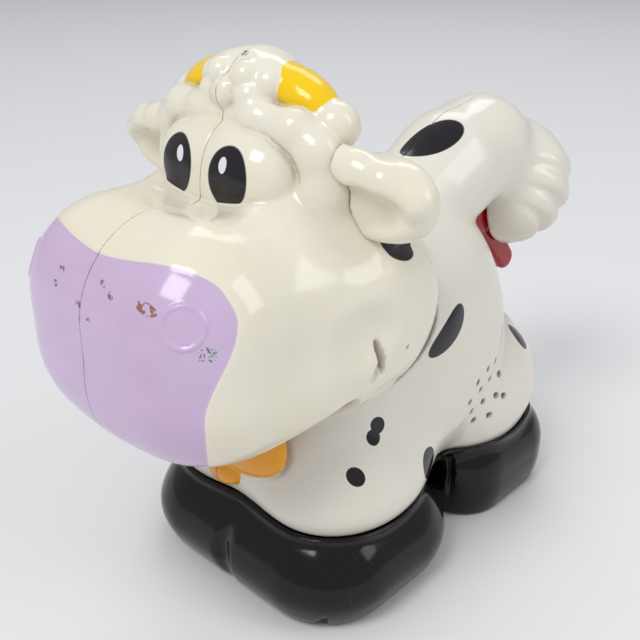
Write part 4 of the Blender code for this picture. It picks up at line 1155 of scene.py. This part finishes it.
def dress(pieces):
    """Materials for the new pieces and for every node that stays."""
    make_groups()
    head, body = head_finish(), body_finish()
    ear = plain_finish("ear ivory plastic", IVORY, IVORY_AGED, 0.13, 0.75)
    black = plain_finish("hoof black plastic", HOOF_BLACK, HOOF_WORN, 0.13, grime=0.15, scuffs=0.35)
    black.node_tree.nodes["Principled BSDF"].inputs["Specular IOR Level"].default_value = 0.36
    red = plain_finish("trigger red plastic", TRIGGER_RED, paint(140, 6, 18), 0.2, grime=0.25)
    made = {
        "cream_plastic": plain_finish("inner ivory plastic", BODY_IVORY, BODY_AGED, 0.32),
        "black_plastic": black,
        "red_plastic": red,
        "grey_plastic": plain_finish("grey plastic", paint(150, 150, 154), paint(128, 126, 124), 0.36),
        "clear_plastic": clear_finish("clear lens plastic", (0.96, 0.97, 0.97, 1), 0.05, 1.49),
        "bulb_glass": clear_finish("bulb glass", (0.98, 0.98, 0.96, 1), 0.03, 1.5),
        "reflector_silver": plain_finish(
            "metallised reflector", paint(222, 222, 224), paint(206, 206, 208), 0.1,
            metallic=1.0, grime=0.1, nick_share=0.04, scuffs=0.1,
        ),
        "steel": plain_finish(
            "zinc plated steel", paint(182, 184, 188), paint(150, 148, 142), 0.3, metallic=1.0
        ),
        "board_green": board_finish(),
        "battery_jacket": cell_finish(),
    }
    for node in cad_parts.values():
        for slot in node.material_slots:
            name = slot.material.name.split(".")[0] if slot.material else "cream_plastic"
            slot.material = made.get(name, made["cream_plastic"])
    for key, finish in (
        ("head_left", head), ("head_right", head), ("ear_left", ear), ("ear_right", ear),
        ("body_left", body), ("body_right", body), ("front", black), ("rear", black), ("trigger", red),
        ("spring", made["steel"]),
    ):
        pieces[key].data.materials.append(finish)


# Studio


def make_camera():
    azimuth, rise, roll = math.radians(43.341), math.radians(25.933), math.radians(0.137)
    distance, focal = 287.14 * MM, 50.637
    target = Vector((-10.457, -MIDDLE, 68.218)) * MM
    back = Vector((math.sin(azimuth) * math.cos(rise), -math.cos(azimuth) * math.cos(rise), math.sin(rise)))
    right = Vector((math.cos(azimuth), math.sin(azimuth), 0))
    up = back.cross(right)
    view_right = right * math.cos(roll) + up * math.sin(roll)
    view_up = up * math.cos(roll) - right * math.sin(roll)
    data = bpy.data.cameras.new("camera")
    data.lens = focal
    data.sensor_width = 36
    data.clip_start = 0.01
    camera = bpy.data.objects.new("camera", data)
    turn = Matrix((view_right, view_up, back)).transposed().to_4x4()
    camera.matrix_world = Matrix.Translation(target + back * distance) @ turn
    bpy.context.scene.collection.objects.link(camera)
    bpy.context.scene.camera = camera


# Each lamp's name, azimuth and rise in degrees, distance and size in metres, and watts
LAMPS = (
    ("key", 5, 52, 1.3, (0.55, 0.55), 7.5),
    ("side", 115, 35, 1.4, (0.5, 0.9), 3.6),
    ("back", 215, 48, 1.5, (0.9, 0.5), 3.0),
)


def make_lamp(name, azimuth, rise, distance, size, power):
    data = bpy.data.lights.new(name, "AREA")
    data.shape = "RECTANGLE"
    data.size, data.size_y = size
    data.energy = power
    obj = bpy.data.objects.new(name, data)
    a, e = math.radians(azimuth), math.radians(rise)
    way = Vector((math.sin(a) * math.cos(e), -math.cos(a) * math.cos(e), math.sin(e)))
    aim = Vector((0, 0, 0.07))
    obj.location = aim + way * distance
    obj.rotation_euler = way.to_track_quat("Z", "Y").to_euler()
    bpy.context.scene.collection.objects.link(obj)


def make_studio():
    mesh = bpy.data.meshes.new("floor")
    half = 4.0
    corners = ((-half, -half, 0), (half, -half, 0), (half, half, 0), (-half, half, 0))
    mesh.from_pydata(corners, [], [(0, 1, 2, 3)])
    floor = bpy.data.objects.new("floor", mesh)
    bpy.context.scene.collection.objects.link(floor)
    made, shader, sheet = new_finish("pale floor", roughness=0.6)
    shader.inputs["Base Color"].default_value = (0.84, 0.84, 0.85, 1)
    mesh.materials.append(made)
    for row in LAMPS:
        make_lamp(*row)
    world = bpy.data.worlds.new("studio")
    bpy.context.scene.world = world
    world.use_nodes = True
    sky = world.node_tree.nodes["Background"]
    sky.inputs["Color"].default_value = (0.95, 0.97, 1.0, 1)
    sky.inputs["Strength"].default_value = 0.5


make_camera()
dress(make_pieces())
make_studio()
bpy.context.scene.view_settings.view_transform = "Standard"
